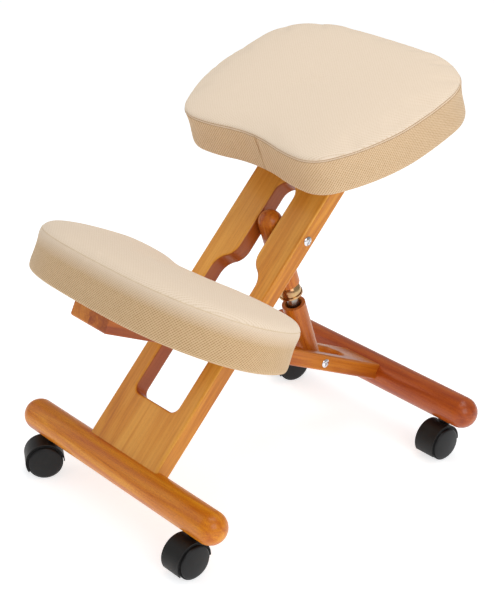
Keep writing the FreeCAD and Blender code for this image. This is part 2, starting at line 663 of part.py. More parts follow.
def caster_hood():
    """Moulded hood over both wheels with its core plate and stem boss."""
    outer = hood_radius()
    half = CORE_HALF + WHEEL_GAP + WHEEL_WIDTH - WHEEL_CROWN - WHEEL_RIM + HOOD_WALL
    arch = cylinder_x(outer, -half, half, -TRAIL, WHEEL_RADIUS)
    room = cylinder_x(outer - HOOD_WALL, CORE_HALF, half + DEPTH_SPARE, -TRAIL, WHEEL_RADIUS)
    hood = arch.cut(both_sides(room))
    slope = math.atan2(HOOD_REAR_CUT - HOOD_FRONT_CUT, 2 * outer)
    below = box_between(-HIGH, HIGH, -HIGH, HIGH, -HIGH, 0)
    cut_at = Vector(0, -TRAIL, (HOOD_REAR_CUT + HOOD_FRONT_CUT) / 2)
    hood = hood.cut(in_frame(below, Placement(cut_at, Rotation(X_AXIS, math.degrees(slope)))))
    top = CASTER_HEIGHT - SOCKET_FLANGE_THICK - BOSS_GAP
    boss = cylinder_z(CORE_HALF, WHEEL_RADIUS, top)
    room = room.fuse(cylinder_x(outer - HOOD_WALL, -half - DEPTH_SPARE, -CORE_HALF, -TRAIL, WHEEL_RADIUS))
    hood = hood.fuse(boss.cut(room)).removeSplitter()
    hood = hood.cut(cylinder_x(AXLE_RADIUS + PRESS, -half, half, -TRAIL, WHEEL_RADIUS))
    return hood.cut(cylinder_z(STEM_RADIUS + PRESS, WHEEL_RADIUS + STEM_RADIUS, HIGH))


def caster_stem():
    """Steel stem fixed in the hood's boss and free to turn in the socket."""
    top = CASTER_HEIGHT + STEM_LENGTH - DEPTH_SPARE
    stem = cylinder_z(STEM_RADIUS, WHEEL_RADIUS + STEM_RADIUS + DEPTH_SPARE, top)
    return stem.makeChamfer(STRUT_CHAMFER, [max(stem.Edges, key=lambda edge: edge.BoundBox.ZMin)])


def caster_socket():
    """Sleeve in the foot bar with a flange against its underside."""
    sleeve = cylinder_z(SOCKET_RADIUS, CASTER_HEIGHT, CASTER_HEIGHT + STEM_LENGTH)
    flange = cylinder_z(SOCKET_FLANGE, CASTER_HEIGHT - SOCKET_FLANGE_THICK, CASTER_HEIGHT)
    return sleeve.fuse(flange).removeSplitter().cut(cylinder_z(STEM_RADIUS + RUNNING, 0, HIGH))


def caster_axle():
    """Steel axle through the hood's core."""
    half = CORE_HALF + WHEEL_GAP + WHEEL_WIDTH - WHEEL_CROWN - WHEEL_RIM
    return cylinder_x(AXLE_RADIUS, -half, half, -TRAIL, WHEEL_RADIUS)


def caster_wheel():
    """Right wheel: tread and hub round a hollow, closed by a domed outer face."""
    inner = CORE_HALF + WHEEL_GAP
    outer = inner + WHEEL_WIDTH
    shoulder = outer - WHEEL_CROWN
    wall = shoulder - WHEEL_RIM
    rim = WHEEL_RADIUS - WHEEL_CROWN
    bore = AXLE_RADIUS + RUNNING
    tread = WHEEL_RADIUS - WHEEL_RIM
    profile = [(wall, 0), (wall, bore), (inner, bore), (inner, HUB_RADIUS), (wall, HUB_RADIUS),
               (wall, tread), (inner, tread), (inner, WHEEL_RADIUS),
               (shoulder - WHEEL_CROWN / 2, WHEEL_RADIUS)]
    corners = [Vector(x, r, 0) for x, r in profile]
    edges = [Part.LineSegment(a, b).toShape() for a, b in zip(corners, corners[1:])]
    side = Vector(shoulder + WHEEL_CROWN / 2, rim, 0)
    apex = Vector(outer, 0, 0)
    edges.append(arc_edge(corners[-1], arc_middle(corners[-1], X_AXIS, side), side))
    edges.append(arc_edge(side, arc_middle(apex, Vector(0, 1, 0), side), apex))
    edges.append(Part.LineSegment(apex, corners[0]).toShape())
    wheel = Part.Face(Part.Wire(edges)).revolve(Vector(0, 0, 0), X_AXIS, 360)
    wheel.translate(Vector(0, -TRAIL, WHEEL_RADIUS))
    return wheel


def write(name, shape):
    """Save one piece under its node name."""
    shape.exportStep("parts/" + name + ".step")


def write_frames():
    """Save the boards, bars, pins and spacers."""
    write("front_foot_bar", foot_bar(MAIN_FRAME, MAIN_DOWEL_X, 1))
    write("rear_foot_bar", foot_bar(CROSS_FRAME, CROSS_DOWEL_X, -1))
    write("main_board", main_board())
    write("cross_board", cross_board())
    write("main_board_dowels", in_frame(dowels(MAIN_DOWEL_X, 1), MAIN_FRAME))
    write("cross_board_dowels", in_frame(dowels(CROSS_DOWEL_X, -1), CROSS_FRAME))
    write("pivot_spacers", pivot_spacers())
    pins = [("pivot", PIVOT_RADIUS, PIVOT_HEAD_RADIUS, HALF_MAIN, PIVOT_POINT, MAIN_ANGLE),
            ("strut_top", PIN_RADIUS, PIN_HEAD_RADIUS, HALF_MAIN, STRUT_TOP, MAIN_ANGLE),
            ("strut_foot", PIN_RADIUS, PIN_HEAD_RADIUS, HALF_CROSS, STRUT_FOOT, -CROSS_ANGLE)]
    for name, radius, head, half, point, angle in pins:
        place = Placement(point, Rotation(X_AXIS, angle))
        write(name + "_sleeve", in_frame(pin_sleeve(radius, half), place))
        write(name + "_screws", in_frame(pin_screws(head, half), place))


def write_strut():
    """Save the strut's wooden and metal pieces."""
    write("strut_head", strut_head())
    write("strut_head_bush", head_bush())
    write("thrust_washer", thrust_washer())
    write("adjuster_spindle", spindle())
    write("spindle_retaining_ring", retaining_ring())
    write("adjuster_hand_collar", hand_collar())
    write("strut_tube", strut_tube())
    write("strut_tube_nut", tube_nut())


def write_pads():
    """Save the seat and the knee pad with what fastens them."""
    write("seat_cushion", seat_in_place(cushion(seat_nodes(), SEAT_HEIGHT, SEAT_CROWN)))
    write("seat_base_board", seat_base())
    write("seat_cleat", seat_cleat())
    write("seat_screws", seat_screws())
    write("knee_cushion", in_frame(cushion(knee_nodes(), KNEE_HEIGHT, KNEE_CROWN), KNEE_FRAME))
    write("knee_base_board", knee_base())
    write("knee_bolts", knee_bolts())
    write("knee_tee_nuts", tee_nuts())


def write_casters():
    """Save the four casters, each with its socket, stem, hood, axle and two wheels."""
    wheel = caster_wheel()
    pieces = {"caster_socket": caster_socket(), "caster_stem": caster_stem(),
              "caster_hood": caster_hood(), "caster_axle": caster_axle(),
              "caster_wheel_a": wheel, "caster_wheel_b": wheel.mirror(Vector(0, 0, 0), X_AXIS)}
    for corner in SWIVEL_ANGLE:
        for name, shape in pieces.items():
            write(name + "_" + corner, in_frame(shape, caster_frame(corner)))


write_frames()
write_strut()
write_pads()
write_casters()
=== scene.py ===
import json
import logging
import math
from dataclasses import dataclass
from enum import Enum
from typing import Iterable, Optional, Sequence

import bmesh
import bpy
import numpy as np
from mathutils import Matrix, Vector


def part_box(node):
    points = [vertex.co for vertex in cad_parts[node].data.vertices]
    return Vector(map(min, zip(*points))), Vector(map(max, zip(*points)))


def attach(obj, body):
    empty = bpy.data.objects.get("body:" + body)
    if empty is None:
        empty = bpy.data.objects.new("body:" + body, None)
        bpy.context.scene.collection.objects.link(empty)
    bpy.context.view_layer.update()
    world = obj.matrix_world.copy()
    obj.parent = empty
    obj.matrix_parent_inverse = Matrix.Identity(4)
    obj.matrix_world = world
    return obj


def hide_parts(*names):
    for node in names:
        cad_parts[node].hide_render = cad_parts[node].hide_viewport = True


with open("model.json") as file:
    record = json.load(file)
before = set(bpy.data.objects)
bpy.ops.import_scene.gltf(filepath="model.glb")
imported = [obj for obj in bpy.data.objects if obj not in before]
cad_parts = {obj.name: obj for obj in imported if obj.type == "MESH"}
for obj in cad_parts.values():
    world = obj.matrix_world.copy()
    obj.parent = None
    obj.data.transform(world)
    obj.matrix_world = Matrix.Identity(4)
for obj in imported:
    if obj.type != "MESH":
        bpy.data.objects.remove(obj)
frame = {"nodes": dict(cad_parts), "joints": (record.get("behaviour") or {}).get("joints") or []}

log = logging.getLogger("kneeling_chair")

MM = 0.001
CORNERS = ("front_right", "front_left", "rear_right", "rear_left")
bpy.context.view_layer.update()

Node = bpy.types.Node
Tree = bpy.types.NodeTree
Socket = bpy.types.NodeSocket
Material = bpy.types.Material
Piece = bpy.types.Object
OutlineNode = tuple[float, float, float]
Ring = tuple[float, float]


class Grain(Enum):
    """Direction that wood fibres run in, as an axis of the piece's own frame."""

    ALONG_X = 0
    ALONG_Y = 1
    ALONG_Z = 2


class Surface(Enum):
    """Faces of a padded piece that wear two copies of one cloth: the top's paler, painted light, and the side's
    darker, painted shade.
    """

    TOP = 0
    SIDE = 1


def linear(code: str) -> tuple[float, float, float, float]:
    """Turn an sRGB hex colour to linear light.

    Args:
        code: Colour such as "#C8782A".

    Returns:
        Linear red, green, blue and an alpha of one.
    """
    channels = [int(code[i:i + 2], 16) / 255 for i in (1, 3, 5)]
    return tuple(c / 12.92 if c <= 0.04045 else ((c + 0.055) / 1.055) ** 2.4 for c in channels) + (1.0,)


def add_node(tree: Tree, kind: str, settings: Optional[dict] = None, links: Optional[dict] = None) -> Node:
    """Add a shader node with its settings and links.

    Args:
        tree: Node tree of the material.
        kind: Blender's type name of the node, without its first word.
        settings: Attribute names, or input numbers or names, with their values.
        links: Input numbers or names with the sockets that feed them, or a node for its first output.

    Returns:
        The new node.
    """
    node = tree.nodes.new("ShaderNode" + kind)
    for key, value in (settings or {}).items():
        if isinstance(key, str) and hasattr(node, key):
            setattr(node, key, value)
        else:
            node.inputs[key].default_value = value
    for key, source in (links or {}).items():
        tree.links.new(source.outputs[0] if isinstance(source, Node) else source, node.inputs[key])
    return node


def fill_ramp(node: Node, stops: Iterable[tuple[float, str]]) -> None:
    """Set the colours of a colour ramp.

    Args:
        node: Colour ramp node.
        stops: Positions with hex colours.
    """
    ramp = node.color_ramp
    stops = list(stops)
    while len(ramp.elements) < len(stops):
        ramp.elements.new(0.5)
    for element, (place, code) in zip(ramp.elements, stops):
        element.position = place
        element.color = linear(code)


def new_material(name: str) -> tuple[Material, Tree, Node]:
    """Make a material with one Principled shader.

    Args:
        name: Name of the real material and how it was made.

    Returns:
        The material, its node tree and its shader.
    """
    material = bpy.data.materials.new(name)
    material.use_nodes = True
    tree = material.node_tree
    return material, tree, tree.nodes["Principled BSDF"]


def set_inputs(shader: Node, values: dict) -> None:
    """Set numbers and colours on the shader's own sockets."""
    for name, value in values.items():
        shader.inputs[name].default_value = value


def local_coordinates(tree: Tree, origin: Vector, turn: float) -> Node:
    """Give Object coordinates in a piece's own frame.

    Args:
        tree: Node tree of the material.
        origin: Origin of the piece's frame, in metres.
        turn: Turn of the frame about X, in degrees.

    Returns:
        Node with the local position.
    """
    place = add_node(tree, "TexCoord")
    frame_turn = (math.radians(turn), 0.0, 0.0)
    return add_node(tree, "Mapping", {"vector_type": "TEXTURE", "Location": origin, "Rotation": frame_turn},
                    {"Vector": place.outputs["Object"]})


@dataclass(frozen=True)
class LacqueredWood:
    """Rubberwood, stained honey and sprayed with clear lacquer.

    It gives the eye warm strips that differ a little, flames of darker late wood, short pores along
    the fibres and one soft highlight of the lacquer. Sizes are in metres.
    """

    name: str
    origin: Vector
    turn: float = 0.0
    grain: Grain = Grain.ALONG_X
    shades: tuple[str, str, str, str] = ("#A8520C", "#CA7816", "#E0942A", "#F0AE46")
    strip_width: float = 900.0 * MM
    strip_shift: float = 400.0 * MM
    swirl: float = 1.0
    gloss: float = 0.22
    core_half: float = 0.0
    core_lift: float = 0.14
    cut_half: float = 0.0
    pores: float = 0.42
    late_wood: float = 0.5
    seed: float = 0.0
    pith: tuple[float, float, float] = (12.0 * MM, 12.0 * MM, -90.0 * MM)
    ring_width: float = 16.13 * MM
    ring_stretch: float = 0.16
    lot_spread: float = 3.0

    def material(self) -> Material:
        """Build the wood's node tree and return the finished material."""
        material, tree, shader = new_material(self.name)
        local = local_coordinates(tree, self.origin, self.turn)
        split = add_node(tree, "SeparateXYZ", None, {0: local})
        across = split.outputs[1 if self.grain is Grain.ALONG_X else 0]
        shifted = add_node(tree, "Math", {"operation": "ADD", 1: self.strip_shift}, {0: across})
        share = add_node(tree, "Math", {"operation": "DIVIDE", 1: self.strip_width}, {0: shifted})
        strip = add_node(tree, "Math", {"operation": "FLOOR"}, {0: share})
        number = add_node(tree, "Math", {"operation": "ADD", 1: self.seed}, {0: strip})
        lot = add_node(tree, "TexWhiteNoise", {"noise_dimensions": "1D"}, {"W": number})
        spread = add_node(tree, "VectorMath", {"operation": "SCALE", "Scale": self.lot_spread},
                          {0: lot.outputs["Color"]})
        lumber = add_node(tree, "VectorMath", {"operation": "ADD"}, {0: local, 1: spread})
        # Broad figure, about 38 mm wide; grain, about 7 mm; fibres and pores, 1.3 mm, coarser than real ones.
        figure = self._noise(tree, lumber, 38.4615 * MM, 384.615 * MM, detail=3.0, bend=0.9 * self.swirl)
        grain = self._noise(tree, lumber, 6.66667 * MM, 200.0 * MM, detail=5.0, bend=0.5)
        fibres = self._noise(tree, lumber, 1.315789 * MM, 45.4545 * MM, detail=3.0, bend=0.1)
        fine = add_node(tree, "Math", {"operation": "MULTIPLY", 1: 0.33}, {0: grain})
        mixed = add_node(tree, "Math", {"operation": "MULTIPLY_ADD", 1: 0.55}, {0: figure, 2: fine})
        tone = add_node(tree, "Math", {"operation": "MULTIPLY_ADD", 1: 0.2}, {0: lot, 2: mixed})
        if self.core_half:
            core = add_node(tree, "Math", {"operation": "COMPARE", 1: 0.0, 2: self.core_half}, {0: across})
            tone = add_node(tree, "Math", {"operation": "MULTIPLY_ADD", 1: self.core_lift}, {0: core, 2: tone})
        ramp = add_node(tree, "ValToRGB", None, {0: tone})
        fill_ramp(ramp, zip((0.34, 0.47, 0.57, 0.7), self.shades))
        pore = add_node(tree, "MapRange", {1: 0.56, 2: 0.74, 3: 0.0, 4: self.pores}, {0: fibres})
        pored = add_node(tree, "Mix", {"data_type": "RGBA", "blend_type": "MULTIPLY", 7: linear("#B0703A")},
                         {0: pore, 6: ramp})
        late = add_node(tree, "MapRange", {1: 0.62, 2: 1.0, 3: 0.0, 4: self.late_wood},
                        {0: self._growth_rings(tree, lumber)})
        ringed = add_node(tree, "Mix", {"data_type": "RGBA", "blend_type": "MULTIPLY", 7: linear("#C07C3C")},
                          {0: late, 6: pored.outputs[2]})
        colour = ringed.outputs[2]
        if self.cut_half:
            # Slot walls: deeper stain and painted shade.
            colour = self._slot_walls_stained_and_shaded(tree, across, colour)
        tree.links.new(colour, shader.inputs["Base Color"])
        rough = add_node(tree, "MapRange", {1: 0.3, 2: 0.7, 3: 0.34, 4: 0.46}, {0: grain})
        tree.links.new(rough.outputs[0], shader.inputs["Roughness"])
        bump = add_node(tree, "Bump", {"Strength": 0.12, "Distance": 0.12 * MM}, {"Height": fibres})
        tree.links.new(bump.outputs[0], shader.inputs["Normal"])
        set_inputs(shader, {"IOR": 1.45, "Specular IOR Level": 0.35, "Coat Weight": self.gloss,
                            "Coat Roughness": 0.16, "Coat IOR": 1.5})
        return material

    def _noise(self, tree: Tree, place: Node, across: float, along: float, detail: float, bend: float) -> Node:
        """Noise drawn out along the fibres.

        Args:
            tree: Node tree of the material.
            place: Local position.
            across: Size of its spots across the fibres, in metres.
            along: Size of its spots along the fibres, in metres.
            detail: Octaves of the noise.
            bend: How far the noise distorts itself.

        Returns:
            The noise node.
        """
        scales = [1.0 / across] * 3
        scales[self.grain.value] = 1.0 / along
        drawn = add_node(tree, "VectorMath", {"operation": "MULTIPLY", 1: tuple(scales)}, {0: place})
        settings = {"Scale": 1.0, "Detail": detail, "Roughness": 0.58, "Distortion": bend}
        return add_node(tree, "TexNoise", settings, {"Vector": drawn})

    def _growth_rings(self, tree: Tree, place: Node) -> Socket:
        """Year rings round a pith beside the piece, which draw flames on its faces.

        Args:
            tree: Node tree of the material.
            place: Local position.

        Returns:
            Socket that is one on the late wood.
        """
        scales = [1.0] * 3
        scales[self.grain.value] = self.ring_stretch
        moved = add_node(tree, "VectorMath", {"operation": "ADD", 1: self.pith}, {0: place})
        drawn = add_node(tree, "VectorMath", {"operation": "MULTIPLY", 1: tuple(scales)}, {0: moved})
        rings = add_node(tree, "TexWave", {
            "wave_type": "RINGS", "rings_direction": "SPHERICAL", "wave_profile": "SAW",
            "Scale": 1.0 / self.ring_width, "Distortion": 5.0 * self.swirl, "Detail": 2.0,
            "Detail Scale": 22.0, "Detail Roughness": 0.5}, {"Vector": drawn})
        return rings.outputs["Fac"]

    def _slot_walls_stained_and_shaded(self, tree: Tree, across: Socket, colour: Socket) -> Socket:
        """Darken the walls of a board's slot: partly the deeper stain that their cut fibres drink, partly painted
        shade, as the walls get less light.

        Args:
            tree: Node tree of the material.
            across: Place across the board, in metres.
            colour: Colour of the board's faces.

        Returns:
            Socket with the colour of faces and walls.
        """
        angle = math.radians(self.turn)
        board_face = (0.0, -math.sin(angle), math.cos(angle))
        place = add_node(tree, "TexCoord")
        facing = add_node(tree, "VectorMath", {"operation": "DOT_PRODUCT", 1: board_face},
                          {0: place.outputs["Normal"]})
        level = add_node(tree, "Math", {"operation": "ABSOLUTE"}, {0: facing.outputs["Value"]})
        # Painted shade and deeper stain: faces inside the slot that stand across the board's face turn darker.
        wall_stain_and_shade = add_node(tree, "MapRange", {1: 0.8, 2: 0.45, 3: 0.0, 4: 0.85}, {0: level})
        inside = add_node(tree, "Math", {"operation": "COMPARE", 1: 0.0, 2: self.cut_half}, {0: across})
        share = add_node(tree, "Math", {"operation": "MULTIPLY"}, {0: wall_stain_and_shade, 1: inside})
        darker = add_node(tree, "Mix", {"data_type": "RGBA", "blend_type": "MULTIPLY", 7: linear("#A86450")},
                          {0: share, 6: colour})
        return darker.outputs[2]


@dataclass(frozen=True)
class WovenPolyester:
    """Polyester cover cloth, woven in a twill.

    It gives the eye a matt beige with a slanting rib and a soft bloom at grazing angles. The rib is
    drawn about four times coarser than the real thread, so that it shows. Sizes are in metres.
    """

    name: str
    light: str
    dark: str
    depth: float
    strength: float
    # Reach below the seam, and the colour, of a painted-light blend into the top's paler colour.
    lit_blend_reach: float = 0.0
    lit_top_colour: str = "#EEDBC5"
    rib: float = 2.9 * MM
    weft: float = 3.335 * MM
    slant: float = 38.0

    def material(self) -> Material:
        """Build the cloth's node tree and return the finished material."""
        material, tree, shader = new_material(self.name)
        cloth = add_node(tree, "UVMap", {"uv_map": "Cloth"})
        turned = add_node(tree, "Mapping", {"Rotation": (0.0, 0.0, math.radians(self.slant))}, {"Vector": cloth})
        # Blotches are about 17 mm wide and slubs about 4 mm.
        sway = add_node(tree, "TexNoise", {"Scale": 60.0, "Detail": 2.0}, {"Vector": cloth})
        slub = add_node(tree, "TexNoise", {"Scale": 260.0, "Detail": 3.0, "Roughness": 0.6}, {"Vector": cloth})
        warp, weft = (self._rib(tree, turned, axis, pitch) for axis, pitch in ((0, self.rib), (1, self.weft)))
        weave = add_node(tree, "Math", {"operation": "MULTIPLY_ADD", 1: 0.4}, {0: weft, 2: warp})
        height = add_node(tree, "Math", {"operation": "MULTIPLY_ADD", 1: 0.7}, {0: slub, 2: weave})
        # Painted shade: the rib's low rows, its grooves, take the darker colour, over the slubs' own tone.
        shade = add_node(tree, "MapRange", {1: 0.35, 2: 1.35, 3: 0.0, 4: 1.0}, {0: height})
        blotch = add_node(tree, "Math", {"operation": "MULTIPLY_ADD", 1: 0.22, 2: -0.11}, {0: sway})
        both = add_node(tree, "Math", {"operation": "ADD"}, {0: shade, 1: blotch})
        ramp = add_node(tree, "ValToRGB", None, {0: both})
        fill_ramp(ramp, ((0.12, self.dark), (0.78, self.light)))
        colour = ramp.outputs[0]
        # Painted light: within the given reach below the seam the band's shaded colour blends towards the top's paler
        # colour, reaching 85 percent at the seam, as the shade lifts over the rounded edge.
        if self.lit_blend_reach:
            level = add_node(tree, "SeparateXYZ", None, {0: cloth})
            near = add_node(tree, "MapRange", {1: -self.lit_blend_reach, 2: 0.0, 3: 0.0, 4: 0.85}, {0: level.outputs[1]})
            blend = add_node(tree, "Mix", {"data_type": "RGBA", 7: linear(self.lit_top_colour)}, {0: near, 6: colour})
            colour = blend.outputs[2]
        tree.links.new(colour, shader.inputs["Base Color"])
        bump = add_node(tree, "Bump", {"Strength": self.strength, "Distance": self.depth}, {"Height": height})
        tree.links.new(bump.outputs[0], shader.inputs["Normal"])
        set_inputs(shader, {"Roughness": 0.86, "IOR": 1.45, "Sheen Weight": 0.28, "Sheen Roughness": 0.5,
                            "Sheen Tint": linear("#FFF4E2")})
        return material

    @staticmethod
    def _rib(tree: Tree, place: Node, axis: int, pitch: float) -> Node:
        """Rows of thread across one axis, as a wave from nought to one.

        Args:
            tree: Node tree of the material.
            place: Position on the cloth, in metres.
            axis: Axis that the rows follow each other along.
            pitch: Distance between rows, in metres.

        Returns:
            Node with the wave.
        """
        split = add_node(tree, "SeparateXYZ", None, {0: place})
        turns = add_node(tree, "Math", {"operation": "MULTIPLY", 1: 2 * math.pi / pitch}, {0: split.outputs[axis]})
        wave = add_node(tree, "Math", {"operation": "SINE"}, {0: turns})
        return add_node(tree, "Math", {"operation": "MULTIPLY_ADD", 1: 0.5, 2: 0.5}, {0: wave})


@dataclass(frozen=True)
class PlatedMetal:
    """Metal with a thin plated or turned skin.

    It gives the eye mirror-like highlights, broken by cloudy stains and uneven roughness.
    """

    name: str
    colour: str
    stain: str
    roughness: float
    spot: float = 11.1111 * MM

    def material(self) -> Material:
        """Build the metal's node tree and return the finished material."""
        material, tree, shader = new_material(self.name)
        place = add_node(tree, "TexCoord").outputs["Object"]
        cloud = add_node(tree, "TexNoise", {"Scale": 1.0 / self.spot, "Detail": 4.0}, {"Vector": place})
        ramp = add_node(tree, "ValToRGB", None, {0: cloud})
        fill_ramp(ramp, ((0.35, self.stain), (0.6, self.colour)))
        tree.links.new(ramp.outputs[0], shader.inputs["Base Color"])
        rough = add_node(tree, "MapRange", {1: 0.3, 2: 0.7, 3: self.roughness * 0.8, 4: self.roughness * 1.3},
                         {0: cloud})
        tree.links.new(rough.outputs[0], shader.inputs["Roughness"])
        shader.inputs["Metallic"].default_value = 1.0
        return material


@dataclass(frozen=True)
class MouldedPlastic:
    """Nylon from a fine-textured mould, and polyester thread.

    It gives the eye a dull skin with a faint mottle and a grain of a few tenths of a millimetre.
    """

    name: str
    colour: str
    worn: str
    roughness: float
    grain: float = 0.384615 * MM
    mottle: float = 14.2857 * MM
    relief: float = 0.06 * MM

    def material(self) -> Material:
        """Build the plastic's node tree and return the finished material."""
        material, tree, shader = new_material(self.name)
        place = add_node(tree, "TexCoord").outputs["Object"]
        fine = add_node(tree, "TexNoise", {"Scale": 1.0 / self.grain, "Detail": 2.0}, {"Vector": place})
        cloud = add_node(tree, "TexNoise", {"Scale": 1.0 / self.mottle, "Detail": 3.0}, {"Vector": place})
        ramp = add_node(tree, "ValToRGB", None, {0: cloud})
        fill_ramp(ramp, ((0.35, self.colour), (0.7, self.worn)))
        tree.links.new(ramp.outputs[0], shader.inputs["Base Color"])
        rough = add_node(tree, "MapRange", {1: 0.3, 2: 0.7, 3: self.roughness - 0.05, 4: self.roughness + 0.07},
                         {0: cloud})
        tree.links.new(rough.outputs[0], shader.inputs["Roughness"])
        bump = add_node(tree, "Bump", {"Strength": 0.25, "Distance": self.relief}, {"Height": fine})
        tree.links.new(bump.outputs[0], shader.inputs["Normal"])
        set_inputs(shader, {"IOR": 1.5, "Specular IOR Level": 0.28})
        return material


def dress(nodes: Iterable[str], material: Material) -> None:
    """Give CAD nodes a material through their objects' slots.

    Args:
        nodes: Names of the nodes.
        material: Material to wear.
    """
    for name in nodes:
        for material_slot in frame["nodes"][name].material_slots:
            material_slot.link = "OBJECT"
            material_slot.material = material
        log.info("dressed %s in %s", name, material.name)


def box_centre(node: str) -> Vector:
    """Middle of a CAD node's box."""
    low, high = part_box(node)
    return (Vector(low) + Vector(high)) / 2


def joint_place(name: str) -> Vector:
    """Point that a joint turns about, in metres."""
    return Vector(next(j["pos_m"] for j in frame["joints"] if j["name"] == name))


def deselect_all() -> None:
    """Leave nothing selected or active."""
    bpy.ops.object.select_all(action="DESELECT")
    bpy.context.view_layer.objects.active = None


def make_active(piece: Piece) -> None:
    """Select one object and make it active."""
    deselect_all()
    piece.select_set(True)
    bpy.context.view_layer.objects.active = piece


def settle(piece: Piece) -> None:
    """Apply an object's place so that it sits at the origin."""
    make_active(piece)
    bpy.ops.object.transform_apply(location=True, rotation=True, scale=True)


def apply_modifiers(piece: Piece) -> None:
    """Apply every modifier of an object in order."""
    make_active(piece)
    for modifier in list(piece.modifiers):
        bpy.ops.object.modifier_apply(modifier=modifier.name)


def round_tube(name: str, points: Sequence[Vector], radius: float, closed: bool) -> Piece:
    """Thin round tube through points, such as a welt or a thread.

    Args:
        name: Name of the piece.
        points: Points along its middle.
        radius: Radius in metres.
        closed: Whether the ends join.

    Returns:
        The tube as a mesh object.
    """
    curve = bpy.data.curves.new(name, "CURVE")
    curve.dimensions = "3D"
    curve.bevel_depth = radius
    curve.bevel_resolution = 2
    curve.use_fill_caps = not closed
    spline = curve.splines.new("POLY")
    spline.points.add(len(points) - 1)
    for spot, point in zip(spline.points, points):
        spot.co = (*point, 1.0)
    spline.use_cyclic_u = closed
    piece = bpy.data.objects.new(name, curve)
    bpy.context.scene.collection.objects.link(piece)
    make_active(piece)
    bpy.ops.object.convert(target="MESH")
    piece = bpy.context.view_layer.objects.active
    bpy.ops.object.shade_smooth()
    return piece


def join_pieces(pieces: Sequence[Piece], name: str) -> Piece:
    """Join objects into one.

    Args:
        pieces: Objects to join.
        name: Name of the joined piece.

    Returns:
        The joined object.
    """
    deselect_all()
    for piece in pieces:
        piece.select_set(True)
    bpy.context.view_layer.objects.active = pieces[0]
    bpy.ops.object.join()
    pieces[0].name = name
    return pieces[0]


def outline_points(half_nodes: Sequence[OutlineNode], count: int) -> np.ndarray:
    """Even points round a mirrored outline of tangent arcs.

    Args:
        half_nodes: Nodes (x, y, direction in degrees) of the right half, front to back.
        count: Number of points.

    Returns:
        Points as rows, in metres, starting at the front middle.
    """
    left = [(-x, y, -angle) for x, y, angle in reversed(half_nodes[1:-1])]
    nodes = [(np.array((x, y)) * MM, math.radians(a)) for x, y, a in list(half_nodes) + left]
    dense = []
    for (start, a_in), (end, a_out) in zip(nodes, nodes[1:] + nodes[:1]):
        first = np.array((math.cos(a_in), math.sin(a_in)))
        last = np.array((math.cos(a_out), math.sin(a_out)))
        chord = end - start
        spread = 2 * (1 - first @ last)
        along = chord @ (first + last)
        reach = chord @ chord / (2 * along)
        if spread > 1e-6:
            reach = (math.sqrt(along * along + spread * (chord @ chord)) - along) / spread
        joint = (start + end + (first - last) * reach) / 2
        dense.append(_arc(start, first, joint)[:-1])
        dense.append(_arc(end, -last, joint)[::-1][:-1])
    path = np.vstack(dense + [dense[0][:1]])
    length = np.concatenate(([0.0], np.cumsum(np.linalg.norm(np.diff(path, axis=0), axis=1))))
    wanted = np.linspace(0.0, length[-1], count, endpoint=False)
    return np.column_stack([np.interp(wanted, length, path[:, i]) for i in (0, 1)])


def _arc(start: np.ndarray, direction: np.ndarray, end: np.ndarray, steps: int = 24) -> np.ndarray:
    """Points of the arc that leaves start along a direction and reaches end."""
    chord = end - start
    swing = math.atan2(direction[0] * chord[1] - direction[1] * chord[0], direction @ chord)
    shares = np.linspace(0.0, 1.0, steps)
    if abs(swing) < 1e-5:
        return start + np.outer(shares, chord)
    radius = np.linalg.norm(chord) / (2 * math.sin(swing))
    centre = start + np.array((-direction[1], direction[0])) * radius
    spoke = start - centre
    angles = 2 * swing * shares
    cos, sin = np.cos(angles), np.sin(angles)
    return centre + np.column_stack((spoke[0] * cos - spoke[1] * sin, spoke[0] * sin + spoke[1] * cos))


